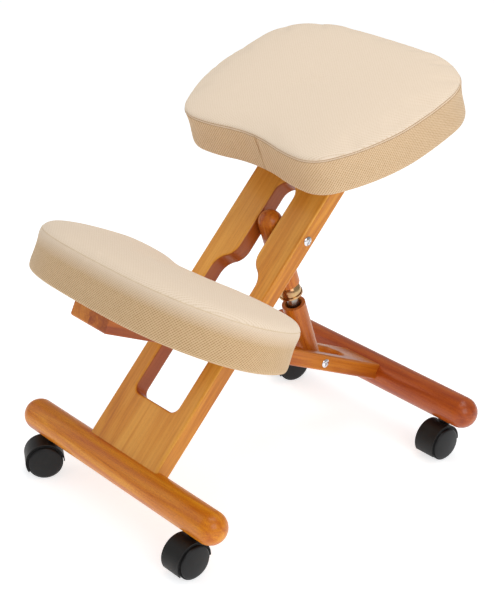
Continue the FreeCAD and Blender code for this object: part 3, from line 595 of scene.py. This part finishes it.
@dataclass
class Pad:
    """Foam pad on a plywood base, with a cloth cover: a top panel sewn to a side band."""

    name: str
    node: str
    body: str
    half_nodes: list[OutlineNode]
    height: float
    crown: float
    place: Matrix
    band: Sequence[Ring]
    shoulder: Sequence[Ring]
    crown_reach: float
    swell: float
    seam_hold: float
    base_inset: float = 13.7
    base_depth: float = 12.3
    inner_rings: int = 4
    held_rings: int = 6
    seam_ring: int = 16
    around: int = 240
    inward: int = 26
    crown_power: float = 2.4
    fill: float = 0.85

    @property
    def side_rings(self) -> list[Ring]:
        """Inset and height of every ring of the side, from the base up to the crown's edge."""
        return [*self.band, *((inset, self.height + rise) for inset, rise in self.shoulder)]

    def build(self, top: Material, side: Material) -> Piece:
        """Model the pad, swell it as cloth and dress it.

        Args:
            top: Cloth of the top panel.
            side: Cloth of the side band.

        Returns:
            The finished pad.
        """
        self.outline = outline_points(self.half_nodes, self.around)
        step = np.roll(self.outline, -1, axis=0) - np.roll(self.outline, 1, axis=0)
        step /= np.linalg.norm(step, axis=1)[:, None]
        self.inwards = np.column_stack((-step[:, 1], step[:, 0]))
        rest = self._grid()
        shaped = self._swelled(rest)
        rest, shaped = self._refined(rest), self._refined(shaped)
        seam = 2 * self.seam_ring
        piece = self._mesh(self.name, rest, shaped, seam)
        piece.data.transform(self.place)
        self.rows = [[self.place @ Vector(point) for point in shaped[ring]] for ring in (seam, seam - 3)]
        for material in (top, side):
            piece.data.materials.append(material)
        make_active(piece)
        bpy.ops.object.shade_smooth()
        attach(piece, self.body)
        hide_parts(self.node)
        log.info("built %s", self.name)
        return piece

    def _grid(self) -> np.ndarray:
        """Rings of points, from inside the base's pocket, up the side and over the crown.

        Returns:
            Points by ring, by step round the outline, in metres.
        """
        rings = [self._ring(self.base_inset, self.base_depth, scale) for scale in (0.3, 0.65, 1.0)]
        rings.append(self._ring(self.base_inset, self.base_depth * 0.5, 1.0))
        rings.extend(self._ring(inset, height, 1.0) for inset, height in self.side_rings)
        edge = rings[-1]
        rings.extend(self._crowned(edge, 1.0 - i / self.inward) for i in range(1, self.inward))
        return np.array(rings)

    def _ring(self, inset: float, height: float, scale: float) -> np.ndarray:
        """Outline moved inwards by an inset at a height, in metres."""
        flat = (self.outline + self.inwards * inset * MM) * scale
        return np.column_stack((flat, np.full(len(flat), height * MM)))

    def _crowned(self, edge: np.ndarray, scale: float) -> np.ndarray:
        """Edge drawn towards the middle and lifted by how far it is from the edge."""
        ring = edge * (scale, scale, 1.0)
        gaps = np.linalg.norm(ring[:, None, :2] - edge[None, :, :2], axis=2).min(axis=1)
        share = np.clip(gaps / (self.crown_reach * MM), 0.0, 1.0)
        rise = (self.height + self.crown) * MM - edge[0, 2]
        ring[:, 2] += rise * (1.0 - (1.0 - share) ** self.crown_power)
        return ring

    @staticmethod
    def _refined(grid: np.ndarray) -> np.ndarray:
        """Double the points both ways by cubic interpolation.

        Args:
            grid: Points by ring and by step round the outline.

        Returns:
            The finer grid, through the same points.
        """
        before, after, beyond = (np.roll(grid, shift, axis=1) for shift in (1, -1, -2))
        middle = (9 * (grid + after) - before - beyond) / 16
        wide = np.stack((grid, middle), axis=2).reshape(len(grid), -1, 3)
        ends = np.concatenate((wide[:1], wide, wide[-1:]))
        fine = np.empty((2 * len(wide) - 1,) + wide.shape[1:])
        fine[0::2] = wide
        fine[1::2] = (9 * (ends[1:-2] + ends[2:-1]) - ends[:-3] - ends[3:]) / 16
        return fine

    def _mesh(self, name: str, rest: np.ndarray, shaped: np.ndarray, seam: int) -> Piece:
        """Closed mesh over a grid, with cloth coordinates and the side band's faces marked.

        Args:
            name: Name of the piece.
            rest: Grid before it swelled, which the cloth coordinates follow.
            shaped: Grid of the finished form.
            seam: Ring that the top panel starts at.

        Returns:
            The new object.
        """
        count, around = rest.shape[:2]
        ring, step = np.meshgrid(np.arange(count - 1), np.arange(around), indexing="ij")
        ring, step = ring.ravel(), step.ravel()
        after = (step + 1) % around
        quads = np.column_stack((ring * around + step, ring * around + after,
                                 (ring + 1) * around + after, (ring + 1) * around + step))
        low, high = count * around, count * around + 1
        turn = np.arange(around)
        bottom = np.column_stack(((turn + 1) % around, turn, np.full(around, low)))
        last = (count - 1) * around
        cap = np.column_stack((last + turn, last + (turn + 1) % around, np.full(around, high)))
        poles = [shaped[0].mean(axis=0), (*shaped[-1, :, :2].mean(axis=0), shaped[-1, :, 2].max())]
        data = bpy.data.meshes.new(name)
        data.from_pydata(np.vstack((shaped.reshape(-1, 3), poles)), [],
                         quads.tolist() + bottom.tolist() + cap.tolist())
        on_top = np.concatenate((ring >= seam, np.zeros(around, bool), np.ones(around, bool)))
        wears = np.where(on_top, Surface.TOP.value, Surface.SIDE.value)
        data.polygons.foreach_set("material_index", wears)
        rise = np.concatenate(([0.0], np.cumsum(np.linalg.norm(np.diff(rest, axis=0), axis=2).mean(axis=1))))
        rise -= rise[seam]
        first = rest[self.inner_rings]
        run = np.linalg.norm(first - np.roll(first, -1, axis=0), axis=1).mean()
        band = np.stack([np.column_stack((s * run, rise[r])) for r, s in
                         ((ring, step), (ring, step + 1), (ring + 1, step + 1), (ring + 1, step))], axis=1)
        flat = np.vstack((rest.reshape(-1, 3)[:, :2], np.zeros((2, 2))))
        spots = np.where((ring >= seam)[:, None, None], flat[quads], band)
        cloth = data.uv_layers.new(name="Cloth")
        cloth.data.foreach_set("uv", np.concatenate([part.ravel() for part in (spots, flat[bottom], flat[cap])]))
        data.update()
        piece = bpy.data.objects.new(name, data)
        bpy.context.scene.collection.objects.link(piece)
        return piece

    def _swelled(self, rest: np.ndarray) -> np.ndarray:
        """Press the cover outwards from within, as cloth held at the base and along the seam.

        Args:
            rest: Grid of the plain form.

        Returns:
            Grid of the settled cloth.
        """
        count, around = rest.shape[:2]
        piece = self._mesh(self.name + "_cloth", rest, rest, self.seam_ring)
        held = piece.vertex_groups.new(name="held")
        held.add(list(range(self.held_rings * around)) + [count * around], 1.0, "REPLACE")
        seam = range(self.seam_ring * around, (self.seam_ring + 1) * around)
        held.add(list(seam), self.seam_hold, "REPLACE")
        cover = piece.modifiers.new("Cover", "CLOTH")
        cover.settings.quality = 4
        cover.settings.mass = 0.3
        cover.settings.tension_stiffness = cover.settings.compression_stiffness = 25.0
        cover.settings.bending_stiffness = 15.0
        cover.settings.use_pressure = True
        cover.settings.uniform_pressure_force = 4.0
        cover.settings.effector_weights.gravity = 0.0
        cover.settings.vertex_group_mass = "held"
        cover.point_cache.frame_start, cover.point_cache.frame_end = 1, 20
        for number in range(1, 21):
            bpy.context.scene.frame_set(number)
        settled = piece.evaluated_get(bpy.context.evaluated_depsgraph_get()).data.vertices
        moved = np.array([vertex.co[:] for vertex in settled])[:count * around].reshape(rest.shape)
        bpy.context.scene.frame_set(1)
        bpy.data.objects.remove(piece)
        shift = moved - rest
        size = np.linalg.norm(shift, axis=2, keepdims=True)
        cap = self.swell * MM
        shift *= cap * np.tanh(size / cap) / np.maximum(size, 1e-9)
        log.info("%s swelled by %.1f mm at most", self.name, np.linalg.norm(shift, axis=2).max() / MM)
        return rest + shift


@dataclass
class SeatPad:
    """Seat: pad with two stitch rows round its top and one upright seam at the front.

    Rings give an inset and a height: the band's from the base up, the shoulder's from the top edge.
    """

    half_width: float = 200.5
    half_depth: float = 155.0
    front_dip: float = 17.5
    forward: float = 38.5
    board_length: float = 623.0
    tilt: float = 17.3
    height: float = 64.5
    crown: float = 8.0
    thread_radius: float = 0.55
    upright_at: float = 10.0
    upright_slant: float = 9.0
    upright_top: float = 7.0
    sunk: float = 0.25
    band: tuple[Ring, ...] = ((13.7, 0.0), (9.0, 0.0), (4.6, 0.1), (2.0, 2.0), (0.8, 6.0), (0.7, 12.0),
                              (1.0, 20.0), (1.4, 30.0), (1.2, 40.0), (0.5, 49.0), (0.1, 54.0))
    shoulder: tuple[Ring, ...] = ((0.3, -7.6), (1.4, -6.2), (0.6, -4.8), (1.2, -3.0), (2.6, -1.4),
                                  (4.8, -0.2), (8.0, 0.7))

    def place(self, foot: Vector, board_angle: float) -> Matrix:
        """Frame of the seat, from the foot bar's middle and the main board's angle.

        Args:
            foot: Middle of the front foot bar.
            board_angle: Angle of the main board to the floor, in degrees.

        Returns:
            Matrix from the seat's own coordinates to the chair's.
        """
        angle = math.radians(board_angle)
        top = foot + Vector((0.0, math.cos(angle), math.sin(angle))) * self.board_length * MM
        tilted = Matrix.Rotation(math.radians(self.tilt), 4, "X")
        return Matrix.Translation(top) @ tilted @ Matrix.Translation((0.0, -self.forward * MM, 0.0))

    def nodes(self) -> list[OutlineNode]:
        """Right half of the outline: waved front, bowed sides, round corners."""
        w, d = self.half_width, self.half_depth
        return [(0.0, self.front_dip - d, 0.0), (0.556 * w, -0.962 * d, 0.0), (0.784 * w, -0.816 * d, 55.0),
                (w, 0.0, 88.0), (0.815 * w, 0.827 * d, 148.0), (0.0, d, 180.0)]

    def build(self, foot: Vector, board_angle: float, top: Material, side: Material,
              thread: Material) -> None:
        """Build the seat and its seams.

        Args:
            foot: Middle of the front foot bar.
            board_angle: Angle of the main board, in degrees.
            top: Cloth of the top panel.
            side: Cloth of the side band.
            thread: Finish of the threads.
        """
        pad = Pad("seat_cover", "seat_cushion", "main_frame", self.nodes(), self.height, self.crown,
                  self.place(foot, board_angle), self.band, self.shoulder, crown_reach=110.0, swell=3.5,
                  seam_hold=0.55)
        pad.build(top, side)
        stitches = [round_tube("row", row, self.thread_radius * MM, closed=True) for row in pad.rows]
        rows = join_pieces(stitches, "seat_stitch_rows")
        rows.data.materials.append(thread)
        upright = self._upright_seam(pad, thread)
        for piece in (rows, upright):
            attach(piece, "main_frame")
        log.info("built seat stitch rows and upright seam")

    def _upright_seam(self, pad: Pad, thread: Material) -> Piece:
        """Sewn line down the front of the side band.

        Args:
            pad: The seat's pad, already built.
            thread: Finish of the thread.

        Returns:
            The seam.
        """
        front = pad.outline[pad.outline[:, 1] <= 0]
        insets, levels = zip(*pad.side_rings)
        line = []
        for z in np.linspace(1.0, self.height - self.upright_top, 30):
            x = self.upright_at + self.upright_slant * (1.0 - z / self.height)
            near = front[np.argmin(np.abs(front[:, 0] - x * MM))]
            inset = np.interp(z, levels, insets)
            line.append(pad.place @ Vector((x * MM, near[1] + (inset - self.sunk) * MM, z * MM)))
        seam = round_tube("seat_upright_seam", line, self.thread_radius * MM, closed=False)
        seam.data.materials.append(thread)
        return seam


@dataclass
class KneePad:
    """Knee pad: wide pad with a bowed front, a notch at the back and a soft rolled top edge."""

    half_width: float = 230.0
    front: float = 122.5
    rear: float = 122.0
    notch: float = 42.0
    along_board: float = 513.0
    board_half: float = 13.0
    height: float = 72.0
    crown: float = 9.0
    thread_radius: float = 0.5
    band: tuple[Ring, ...] = ((13.7, 0.0), (9.0, 0.0), (4.6, 0.1), (2.0, 2.2), (0.9, 6.0), (0.7, 13.0),
                              (1.1, 22.0), (1.4, 32.0), (1.2, 41.0), (0.4, 48.0), (0.0, 54.0))
    shoulder: tuple[Ring, ...] = ((0.5, -14.0), (1.5, -10.5), (3.0, -7.5), (5.2, -4.7), (8.2, -2.3),
                                  (12.0, -0.3), (17.0, 1.4))

    def place(self, foot: Vector, board_angle: float) -> Matrix:
        """Frame of the knee pad, from the rear foot bar's middle and the cross board's angle."""
        tilted = Matrix.Rotation(math.radians(-board_angle), 4, "X")
        offset = Matrix.Translation((0.0, -self.along_board * MM, self.board_half * MM))
        return Matrix.Translation(foot) @ tilted @ offset

    def nodes(self) -> list[OutlineNode]:
        """Right half of the outline: bowed front, round lobes, notch at the back."""
        w = self.half_width
        return [(0.0, -self.front, 0.0), (0.66 * w, -0.81 * self.front, 25.0), (w, 0.09 * self.rear, 90.0),
                (0.66 * w, self.rear, 180.0), (0.27 * w, self.rear - 0.55 * self.notch, 208.0),
                (0.0, self.rear - self.notch, 180.0)]

    def build(self, foot: Vector, board_angle: float, top: Material, side: Material,
              thread: Material) -> None:
        """Build the knee pad and its seam.

        Args:
            foot: Middle of the rear foot bar.
            board_angle: Angle of the cross board, in degrees.
            top: Cloth of the top panel.
            side: Cloth of the side band.
            thread: Finish of the seam's thread.
        """
        pad = Pad("knee_cover", "knee_cushion", "cross_frame", self.nodes(), self.height, self.crown,
                  self.place(foot, board_angle), self.band, self.shoulder, crown_reach=85.0, swell=4.0,
                  seam_hold=0.08)
        pad.build(top, side)
        seam = round_tube("knee_seam", pad.rows[0], self.thread_radius * MM, closed=True)
        seam.data.materials.append(thread)
        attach(seam, "cross_frame")
        log.info("built knee seam")


@dataclass
class Hardware:
    """Domed screws with a cross slot, in pairs at the three pivots."""

    head_height: float = 3.2
    shank_radius: float = 3.0
    shank_length: float = 16.0
    slot_length: float = 0.62
    slot_width: float = 1.5
    slot_depth: float = 1.7
    slot_turn: float = 0.4
    turn_by_side: float = 0.5
    ring_share: float = 0.3
    dome_drop: float = 0.72
    dome_power: float = 2.2
    edge_wear: float = 0.22

    def build(self, chrome: Material) -> None:
        """Replace each pair of plain screws by cross-slot ones.

        Args:
            chrome: Finish of the screws.
        """
        pairs = (("pivot", "main_frame", 9.0), ("strut_top", "main_frame", 7.1),
                 ("strut_foot", "cross_frame", 7.1))
        for name, body, radius in pairs:
            low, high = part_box(name + "_screws")
            middle = (Vector(low) + Vector(high)) / 2
            face = high[0] - self.head_height * MM
            screws = [self._screw(radius, middle, side * (face - middle.x), side) for side in (1, -1)]
            piece = join_pieces(screws, name + "_cross_screws")
            piece.data.materials.append(chrome)
            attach(piece, body)
            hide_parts(name + "_screws")
            log.info("built %s", piece.name)

    def _screw(self, radius: float, middle: Vector, seat: float, side: int) -> Piece:
        """One screw with its head outwards.

        Args:
            radius: Radius of the head, in millimetres.
            middle: Middle of the pair.
            seat: Where the head's flat face sits along X, from the middle.
            side: 1 for the +X side, -1 for the other.

        Returns:
            The screw in its place.
        """
        deselect_all()
        bpy.ops.mesh.primitive_cylinder_add(vertices=48, radius=radius * MM, depth=self.head_height * MM,
                                            location=(0.0, 0.0, self.head_height * MM / 2))
        head = bpy.context.view_layer.objects.active
        settle(head)
        bpy.ops.object.mode_set(mode="EDIT")
        mesh = bmesh.from_edit_mesh(head.data)
        for face in mesh.faces:
            face.select_set(face.normal.z > 0.9)
        bmesh.update_edit_mesh(head.data)
        for _ in range(2):
            bpy.ops.mesh.inset(thickness=radius * self.ring_share * MM)
        bpy.ops.object.mode_set(mode="OBJECT")
        for vertex in head.data.vertices:
            if vertex.co.z > 0:
                share = math.hypot(vertex.co.x, vertex.co.y) / (radius * MM)
                vertex.co.z = self.head_height * MM * (1.0 - self.dome_drop * share ** self.dome_power)
        cross = self._cross(radius)
        cut = head.modifiers.new("Cross slot", "BOOLEAN")
        cut.object = cross
        cut.operation = "DIFFERENCE"
        cut.solver = "EXACT"
        soften = head.modifiers.new("Worn edges", "BEVEL")
        soften.width = self.edge_wear * MM
        soften.segments = 2
        soften.limit_method = "ANGLE"
        apply_modifiers(head)
        bpy.data.objects.remove(cross)
        deselect_all()
        length = self.shank_length * MM
        bpy.ops.mesh.primitive_cylinder_add(vertices=24, radius=self.shank_radius * MM, depth=length,
                                            location=(0.0, 0.0, -length / 2))
        shank = bpy.context.view_layer.objects.active
        settle(shank)
        screw = join_pieces([head, shank], "screw")
        turned = Matrix.Rotation(self.slot_turn + self.turn_by_side * side, 4, "Z")
        turn = Matrix.Rotation(side * math.pi / 2, 4, "Y") @ turned
        screw.matrix_world = Matrix.Translation((middle.x + seat, middle.y, middle.z)) @ turn
        settle(screw)
        bpy.ops.object.shade_smooth_by_angle(angle=math.radians(35))
        return screw

    def _cross(self, radius: float) -> Piece:
        """Cross-shaped cutter for a screw's recess."""
        bars = []
        for turn in (0.0, math.pi / 2):
            deselect_all()
            bpy.ops.mesh.primitive_cube_add(size=1.0, location=(0.0, 0.0, self.head_height * MM),
                                            rotation=(0.0, 0.0, turn))
            bar = bpy.context.view_layer.objects.active
            bar.scale = (radius * 2 * self.slot_length * MM, self.slot_width * MM, self.slot_depth * 2 * MM)
            settle(bar)
            bars.append(bar)
        merge = bars[0].modifiers.new("Cross", "BOOLEAN")
        merge.object = bars[1]
        merge.operation = "UNION"
        merge.solver = "EXACT"
        apply_modifiers(bars[0])
        bpy.data.objects.remove(bars[1])
        return bars[0]


@dataclass
class TwinWheels:
    """Caster wheels: a plain tread, a groove that stays in shadow and a domed cap.

    Steps are pairs of an inset and a push outwards, each in millimetres.
    """

    around: int = 96
    tread: float = 27.5
    lip: float = 1.1
    groove_width: float = 1.0
    rim: float = 3.5
    hollow: float = 16.5
    hub_wall: float = 3.4
    edge: float = 0.35
    inner: float = 8.6
    web: float = 7.9
    end_play: float = 0.15
    shoulder: float = 18.4
    groove: float = 1.6
    cap_edge: tuple[Ring, ...] = ((0.0, 2.8), (0.4, 1.0), (0.9, 0.8), (1.3, 0.5))
    dome_radii: tuple[float, ...] = (22.8, 20.0, 16.0, 12.0, 8.0, 4.0)
    dome_height: float = 2.3

    def build(self, plastic: Material) -> None:
        """Replace the plain wheels of every caster.

        Args:
            plastic: Finish of the wheels.
        """
        for corner in CORNERS:
            for letter, side in (("a", 1), ("b", -1)):
                joint = next(j for j in frame["joints"] if j["name"] == f"roll_{letter}_{corner}")
                axis = Vector(joint["axis"]).normalized() * side
                piece = self._wheel(f"capped_wheel_{letter}_{corner}")
                turn = Vector((1.0, 0.0, 0.0)).rotation_difference(axis).to_matrix().to_4x4()
                piece.data.transform(Matrix.Translation(Vector(joint["pos_m"])) @ turn)
                piece.data.materials.append(plastic)
                make_active(piece)
                bpy.ops.object.shade_smooth_by_angle(angle=math.radians(32))
                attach(piece, f"wheel_{letter}_{corner}")
                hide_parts(f"caster_wheel_{letter}_{corner}")
                log.info("built %s", piece.name)

    def _wheel(self, name: str) -> Piece:
        """Wheel about the X axis, its cap towards +X.

        Args:
            name: Name of the piece.

        Returns:
            The new object.
        """
        deselect_all()
        depth = self.shoulder - self.inner
        bpy.ops.mesh.primitive_cylinder_add(vertices=self.around, radius=self.tread * MM, depth=depth * MM,
                                            location=((self.inner + depth / 2) * MM, 0.0, 0.0),
                                            rotation=(0.0, math.pi / 2, 0.0))
        piece = bpy.context.view_layer.objects.active
        piece.name = name
        settle(piece)
        rises = [self.dome_height * (1.0 - (r / self.dome_radii[0]) ** 2) for r in self.dome_radii]
        pairs = zip(self.dome_radii, self.dome_radii[1:], rises, rises[1:])
        dome = [(wide - narrow, high - low) for wide, narrow, low, high in pairs]
        self._shape(piece, 1, [(self.lip, 0.0), (0.0, -self.groove), (self.groove_width, 0.0), *self.cap_edge, *dome])
        self._shape(piece, -1, [(self.rim, 0.0), (0.0, -self.web), (self.hollow, 0.0), (0.0, self.web),
                                (self.hub_wall, 0.0), (0.0, -self.web - self.end_play)])
        soften = piece.modifiers.new("Moulded edges", "BEVEL")
        soften.width = self.edge * MM
        soften.segments = 2
        soften.limit_method = "ANGLE"
        soften.angle_limit = math.radians(40)
        apply_modifiers(piece)
        return piece

    @staticmethod
    def _shape(piece: Piece, side: int, steps: Sequence[Ring]) -> None:
        """Shape one end of the wheel by insets and extrusions.

        Args:
            piece: The wheel.
            side: 1 for the outer end, -1 for the inner one.
            steps: Inset and push outwards of each step, in millimetres.
        """
        make_active(piece)
        bpy.ops.object.mode_set(mode="EDIT")
        bpy.ops.mesh.select_mode(type="FACE")
        bpy.ops.mesh.select_all(action="DESELECT")
        mesh = bmesh.from_edit_mesh(piece.data)
        for face in mesh.faces:
            face.select_set(face.normal.x * side > 0.9)
        bmesh.update_edit_mesh(piece.data)
        for inset, push in steps:
            if inset:
                bpy.ops.mesh.inset(thickness=inset * MM, depth=push * MM)
            else:
                move = {"value": (side * push * MM, 0.0, 0.0)}
                bpy.ops.mesh.extrude_region_move(TRANSFORM_OT_translate=move)
        bpy.ops.object.mode_set(mode="OBJECT")


@dataclass
class Studio:
    """Pale floor, soft lights and the camera.

    Angles are in degrees, places in metres and the lens in millimetres. Each lamp has its place, size
    and power.
    """

    azimuth: float = 48.995
    elevation: float = 25.157
    roll: float = 0.62
    distance: float = 2.3967
    lens: float = 96.49
    behind_front_bar: float = 0.2405
    sideways: float = 0.0007
    aim_height: float = 0.2826
    lamp_aim: float = 0.35
    lamps: tuple[tuple[str, tuple[float, float, float], float, float], ...] = (
        ("key", (2.5, -0.7, 1.7), 1.6, 25.0),
        ("fill", (-2.2, -1.4, 1.5), 2.0, 9.0),
        ("top", (0.2, 0.3, 2.8), 1.8, 29.0))

    def build(self, front_bar: Vector) -> None:
        """Set up the studio.

        Args:
            front_bar: Middle of the front foot bar.
        """
        self._floor()
        self._lights()
        self._camera(Vector((self.sideways, front_bar.y + self.behind_front_bar, self.aim_height)))
        bpy.context.scene.view_settings.view_transform = "Standard"
        log.info("built studio")

    def _floor(self) -> None:
        """Plain pale floor under the casters."""
        deselect_all()
        bpy.ops.mesh.primitive_plane_add(size=14.0, location=(0.0, 0.0, 0.0))
        floor = bpy.context.view_layer.objects.active
        floor.name = "studio_floor"
        material, tree, shader = new_material("Matt white studio paper")
        shader.inputs["Base Color"].default_value = linear("#D6D9DC")
        shader.inputs["Roughness"].default_value = 0.9
        shader.inputs["Emission Color"].default_value = linear("#FFFFFF")
        shader.inputs["Emission Strength"].default_value = 0.68
        floor.data.materials.append(material)

    def _lights(self) -> None:
        """Large key light from the right, a fill from the left, a top light and a bright room."""
        world = bpy.data.worlds.new("Studio room")
        world.use_nodes = True
        background = world.node_tree.nodes["Background"]
        background.inputs["Color"].default_value = linear("#FFFFFF")
        background.inputs["Strength"].default_value = 0.36
        bpy.context.scene.world = world
        for name, place, size, power in self.lamps:
            light = bpy.data.lights.new(name, "AREA")
            light.shape = "SQUARE"
            light.size = size
            light.energy = power
            lamp = bpy.data.objects.new(name, light)
            lamp.location = place
            aim = Vector((0.0, 0.0, self.lamp_aim)) - Vector(place)
            lamp.rotation_mode = "QUATERNION"
            lamp.rotation_quaternion = aim.to_track_quat("-Z", "Y")
            bpy.context.scene.collection.objects.link(lamp)

    def _camera(self, target: Vector) -> None:
        """Camera at the photograph's view.

        Args:
            target: Point it looks at.
        """
        azimuth, elevation, roll = (math.radians(a) for a in (self.azimuth, self.elevation, self.roll))
        back = Vector((math.sin(azimuth) * math.cos(elevation), -math.cos(azimuth) * math.cos(elevation),
                       math.sin(elevation)))
        right = Vector((0.0, 0.0, 1.0)).cross(back).normalized()
        up = back.cross(right)
        turned_right = right * math.cos(roll) + up * math.sin(roll)
        turned_up = up * math.cos(roll) - right * math.sin(roll)
        data = bpy.data.cameras.new("camera")
        data.lens = self.lens
        data.sensor_width = 36.0
        data.sensor_fit = "AUTO"
        camera = bpy.data.objects.new("camera", data)
        camera.matrix_world = Matrix.Translation(target + back * self.distance) @ Matrix(
            (turned_right, turned_up, back)).transposed().to_4x4()
        bpy.context.scene.collection.objects.link(camera)
        bpy.context.scene.camera = camera


@dataclass
class Chair:
    """Whole chair: finishes for the CAD nodes, soft pads, wheels, screws and the studio."""

    main_angle: float = 46.9
    cross_angle: float = 25.2
    seat_tilt: float = 17.3
    board_strip: float = 52.6 * MM
    board_half: float = 79.0 * MM
    cross_strip: float = 40.0 * MM

    def build(self) -> None:
        """Build every piece and dress every node."""
        front, rear = box_centre("front_foot_bar"), box_centre("rear_foot_bar")
        self._wood(front, rear)
        self._metal()
        wheel = self._plastic()
        # Top panels: the same cloth, nearly plain with a faint rib, in a paler copy: painted light on the faces
        # turned up to the lamps, so that the pads look soft and pale.
        top = WovenPolyester("Smooth polyester top cloth", "#EEDBC5", "#E2CCB0", 0.14 * MM, 0.3).material()
        # Seat's side band: the same cloth, its rib drawn deeper and darker in its grooves (painted shade), in a
        # darker copy of the top's colour: painted shade on the upright faces, which marks the band off from the top.
        # Within 5 mm below the seam it blends towards the top's colour: painted light over the rounded shoulder.
        side = WovenPolyester("Twill-woven polyester side cloth", "#E2C49E", "#BC9262", 0.4 * MM, 0.7,
                              lit_blend_reach=5.0 * MM).material()
        # Knee pad's band: the same rib in a still darker copy, painted shade for a band turned away from the key
        # light; within 24 mm below the seam it blends towards the top's colour, painted light over the rolled edge.
        shaded_knee_band = WovenPolyester("Twill-woven polyester, painted shade on the knee band", "#D8B88E", "#AE8554",
                                   0.35 * MM, 0.65, lit_blend_reach=24.0 * MM).material()
        # Threads: a shade darker than the cloth on the seat, and hardly darker on the knee pad.
        thread = MouldedPlastic("Polyester sewing thread", "#B8936A", "#C4A27A", 0.7).material()
        pale = MouldedPlastic("Pale polyester sewing thread", "#DCC5A4", "#E2CCAC", 0.8).material()
        SeatPad(tilt=self.seat_tilt).build(front, self.main_angle, top, side, thread)
        KneePad().build(rear, self.cross_angle, top, shaded_knee_band, pale)
        TwinWheels().build(wheel)
        # Chrome: hard bright glints in the cross slots.
        Hardware().build(PlatedMetal("Chrome-plated steel", "#E6E6E8", "#C8C8CC", 0.12).material())
        Studio().build(front)

    def _wood(self, front: Vector, rear: Vector) -> None:
        """Dress boards, bars and the strut in wood whose grain follows each piece.

        Args:
            front: Middle of the front foot bar.
            rear: Middle of the rear foot bar.
        """
        top, foot = joint_place("strut_top_pivot"), joint_place("strut_foot_pivot")
        lean = math.degrees(math.atan2(foot.y - top.y, top.z - foot.z))
        finishes = {
            # Three glued strips, the middle one palest, and darker walls in the slot: partly deeper stain, partly
            # painted shade.
            ("main_board", "main_board_dowels"): LacqueredWood(
                "Honey-lacquered rubberwood board", front, self.main_angle, Grain.ALONG_Y,
                strip_width=self.board_strip, strip_shift=self.board_half, core_half=self.board_strip / 2,
                cut_half=60.0 * MM, pores=0.2, late_wood=0.2, seed=13.0),
            # Two strips, a shade deeper than the main board.
            ("cross_board", "cross_board_dowels"): LacqueredWood(
                "Honey-lacquered rubberwood cross board", rear, -self.cross_angle, Grain.ALONG_Y,
                ("#9C4608", "#BC6410", "#D07C20", "#E09432"), self.cross_strip, self.cross_strip,
                pores=0.25, late_wood=0.3),
            # One turned piece each: long flames that run round the bar. The rear one has a redder stain.
            ("front_foot_bar",): LacqueredWood(
                "Honey-lacquered turned rubberwood", front, shades=("#A64A00", "#CC6E06", "#DE860E", "#EEA020"),
                swirl=2.0, gloss=0.24, late_wood=0.62),
            ("rear_foot_bar",): LacqueredWood(
                "Red-brown lacquered turned rubberwood", rear, shades=("#842E04", "#9C4008", "#B05010", "#C06418"),
                swirl=1.6, gloss=0.3),
            # Turned strut, its fibres along its lean.
            ("strut_head", "strut_tube"): LacqueredWood(
                "Honey-lacquered turned dowel", top, lean, Grain.ALONG_Z,
                ("#9A4408", "#B85C0E", "#CE761C", "#DE8E30")),
            # Cleat in the seat's shade: browner and quieter.
            ("seat_cleat",): LacqueredWood(
                "Lacquered rubberwood cleat", front, self.seat_tilt,
                shades=("#8E4212", "#A8581C", "#BC6E2A", "#CA8238")),
            # Raw plywood under the pads: pale, and without the coat's highlight.
            ("seat_base_board", "knee_base_board"): LacqueredWood(
                "Raw birch plywood", front, shades=("#A98554", "#BC9A68", "#C8A878", "#D4B688"), gloss=0.0),
        }
        for nodes, finish in finishes.items():
            dress(nodes, finish.material())

    def _metal(self) -> None:
        """Dress sleeves, spindle, collar, nuts, stems and axles."""
        # Bright turned steel: grey and clear, with darker clouds.
        steel = PlatedMetal("Turned bright steel", "#B9B7B2", "#8F8A80", 0.28).material()
        dress(["pivot_sleeve", "strut_top_sleeve", "strut_foot_sleeve", "adjuster_spindle",
               "spindle_retaining_ring", "strut_tube_nut", "knee_tee_nuts", "knee_bolts"], steel)
        for corner in CORNERS:
            dress([f"caster_{part}_{corner}" for part in ("socket", "stem", "axle")], steel)
        # Passivated zinc: pale gold that turns coppery in patches.
        zinc = PlatedMetal("Yellow-passivated zinc plating", "#C9A878", "#A06A4C", 0.2, 16.6667 * MM).material()
        dress(["adjuster_hand_collar", "thrust_washer", "seat_screws"], zinc)
        # Sintered bronze: dull brown gold.
        dress(["strut_head_bush"], PlatedMetal("Sintered bronze", "#B08A50", "#8A6A3A", 0.4).material())

    def _plastic(self) -> Material:
        """Dress the casters' hoods and wheels and the pivot's spacers.

        Returns:
            Finish of the wheels.
        """
        # Natural nylon: milky and half dull.
        dress(["pivot_spacers"], MouldedPlastic("Moulded natural nylon", "#D8D2C2", "#CFC8B6", 0.5).material())
        # Black nylon: hoods dull and a little warm, wheels darker and glossier, so that their caps stand out.
        hood = MouldedPlastic("Moulded black nylon hood", "#131211", "#1B1A19", 0.5).material()
        wheel = MouldedPlastic("Moulded black nylon wheel", "#131313", "#1A1A1B", 0.36).material()
        for corner in CORNERS:
            dress([f"caster_hood_{corner}"], hood)
            dress([f"caster_wheel_a_{corner}", f"caster_wheel_b_{corner}"], wheel)
        return wheel


def main() -> None:
    """Build the chair."""
    logging.basicConfig(level=logging.INFO, format="%(message)s")
    Chair().build()


if __name__ == "__main__":
    main()
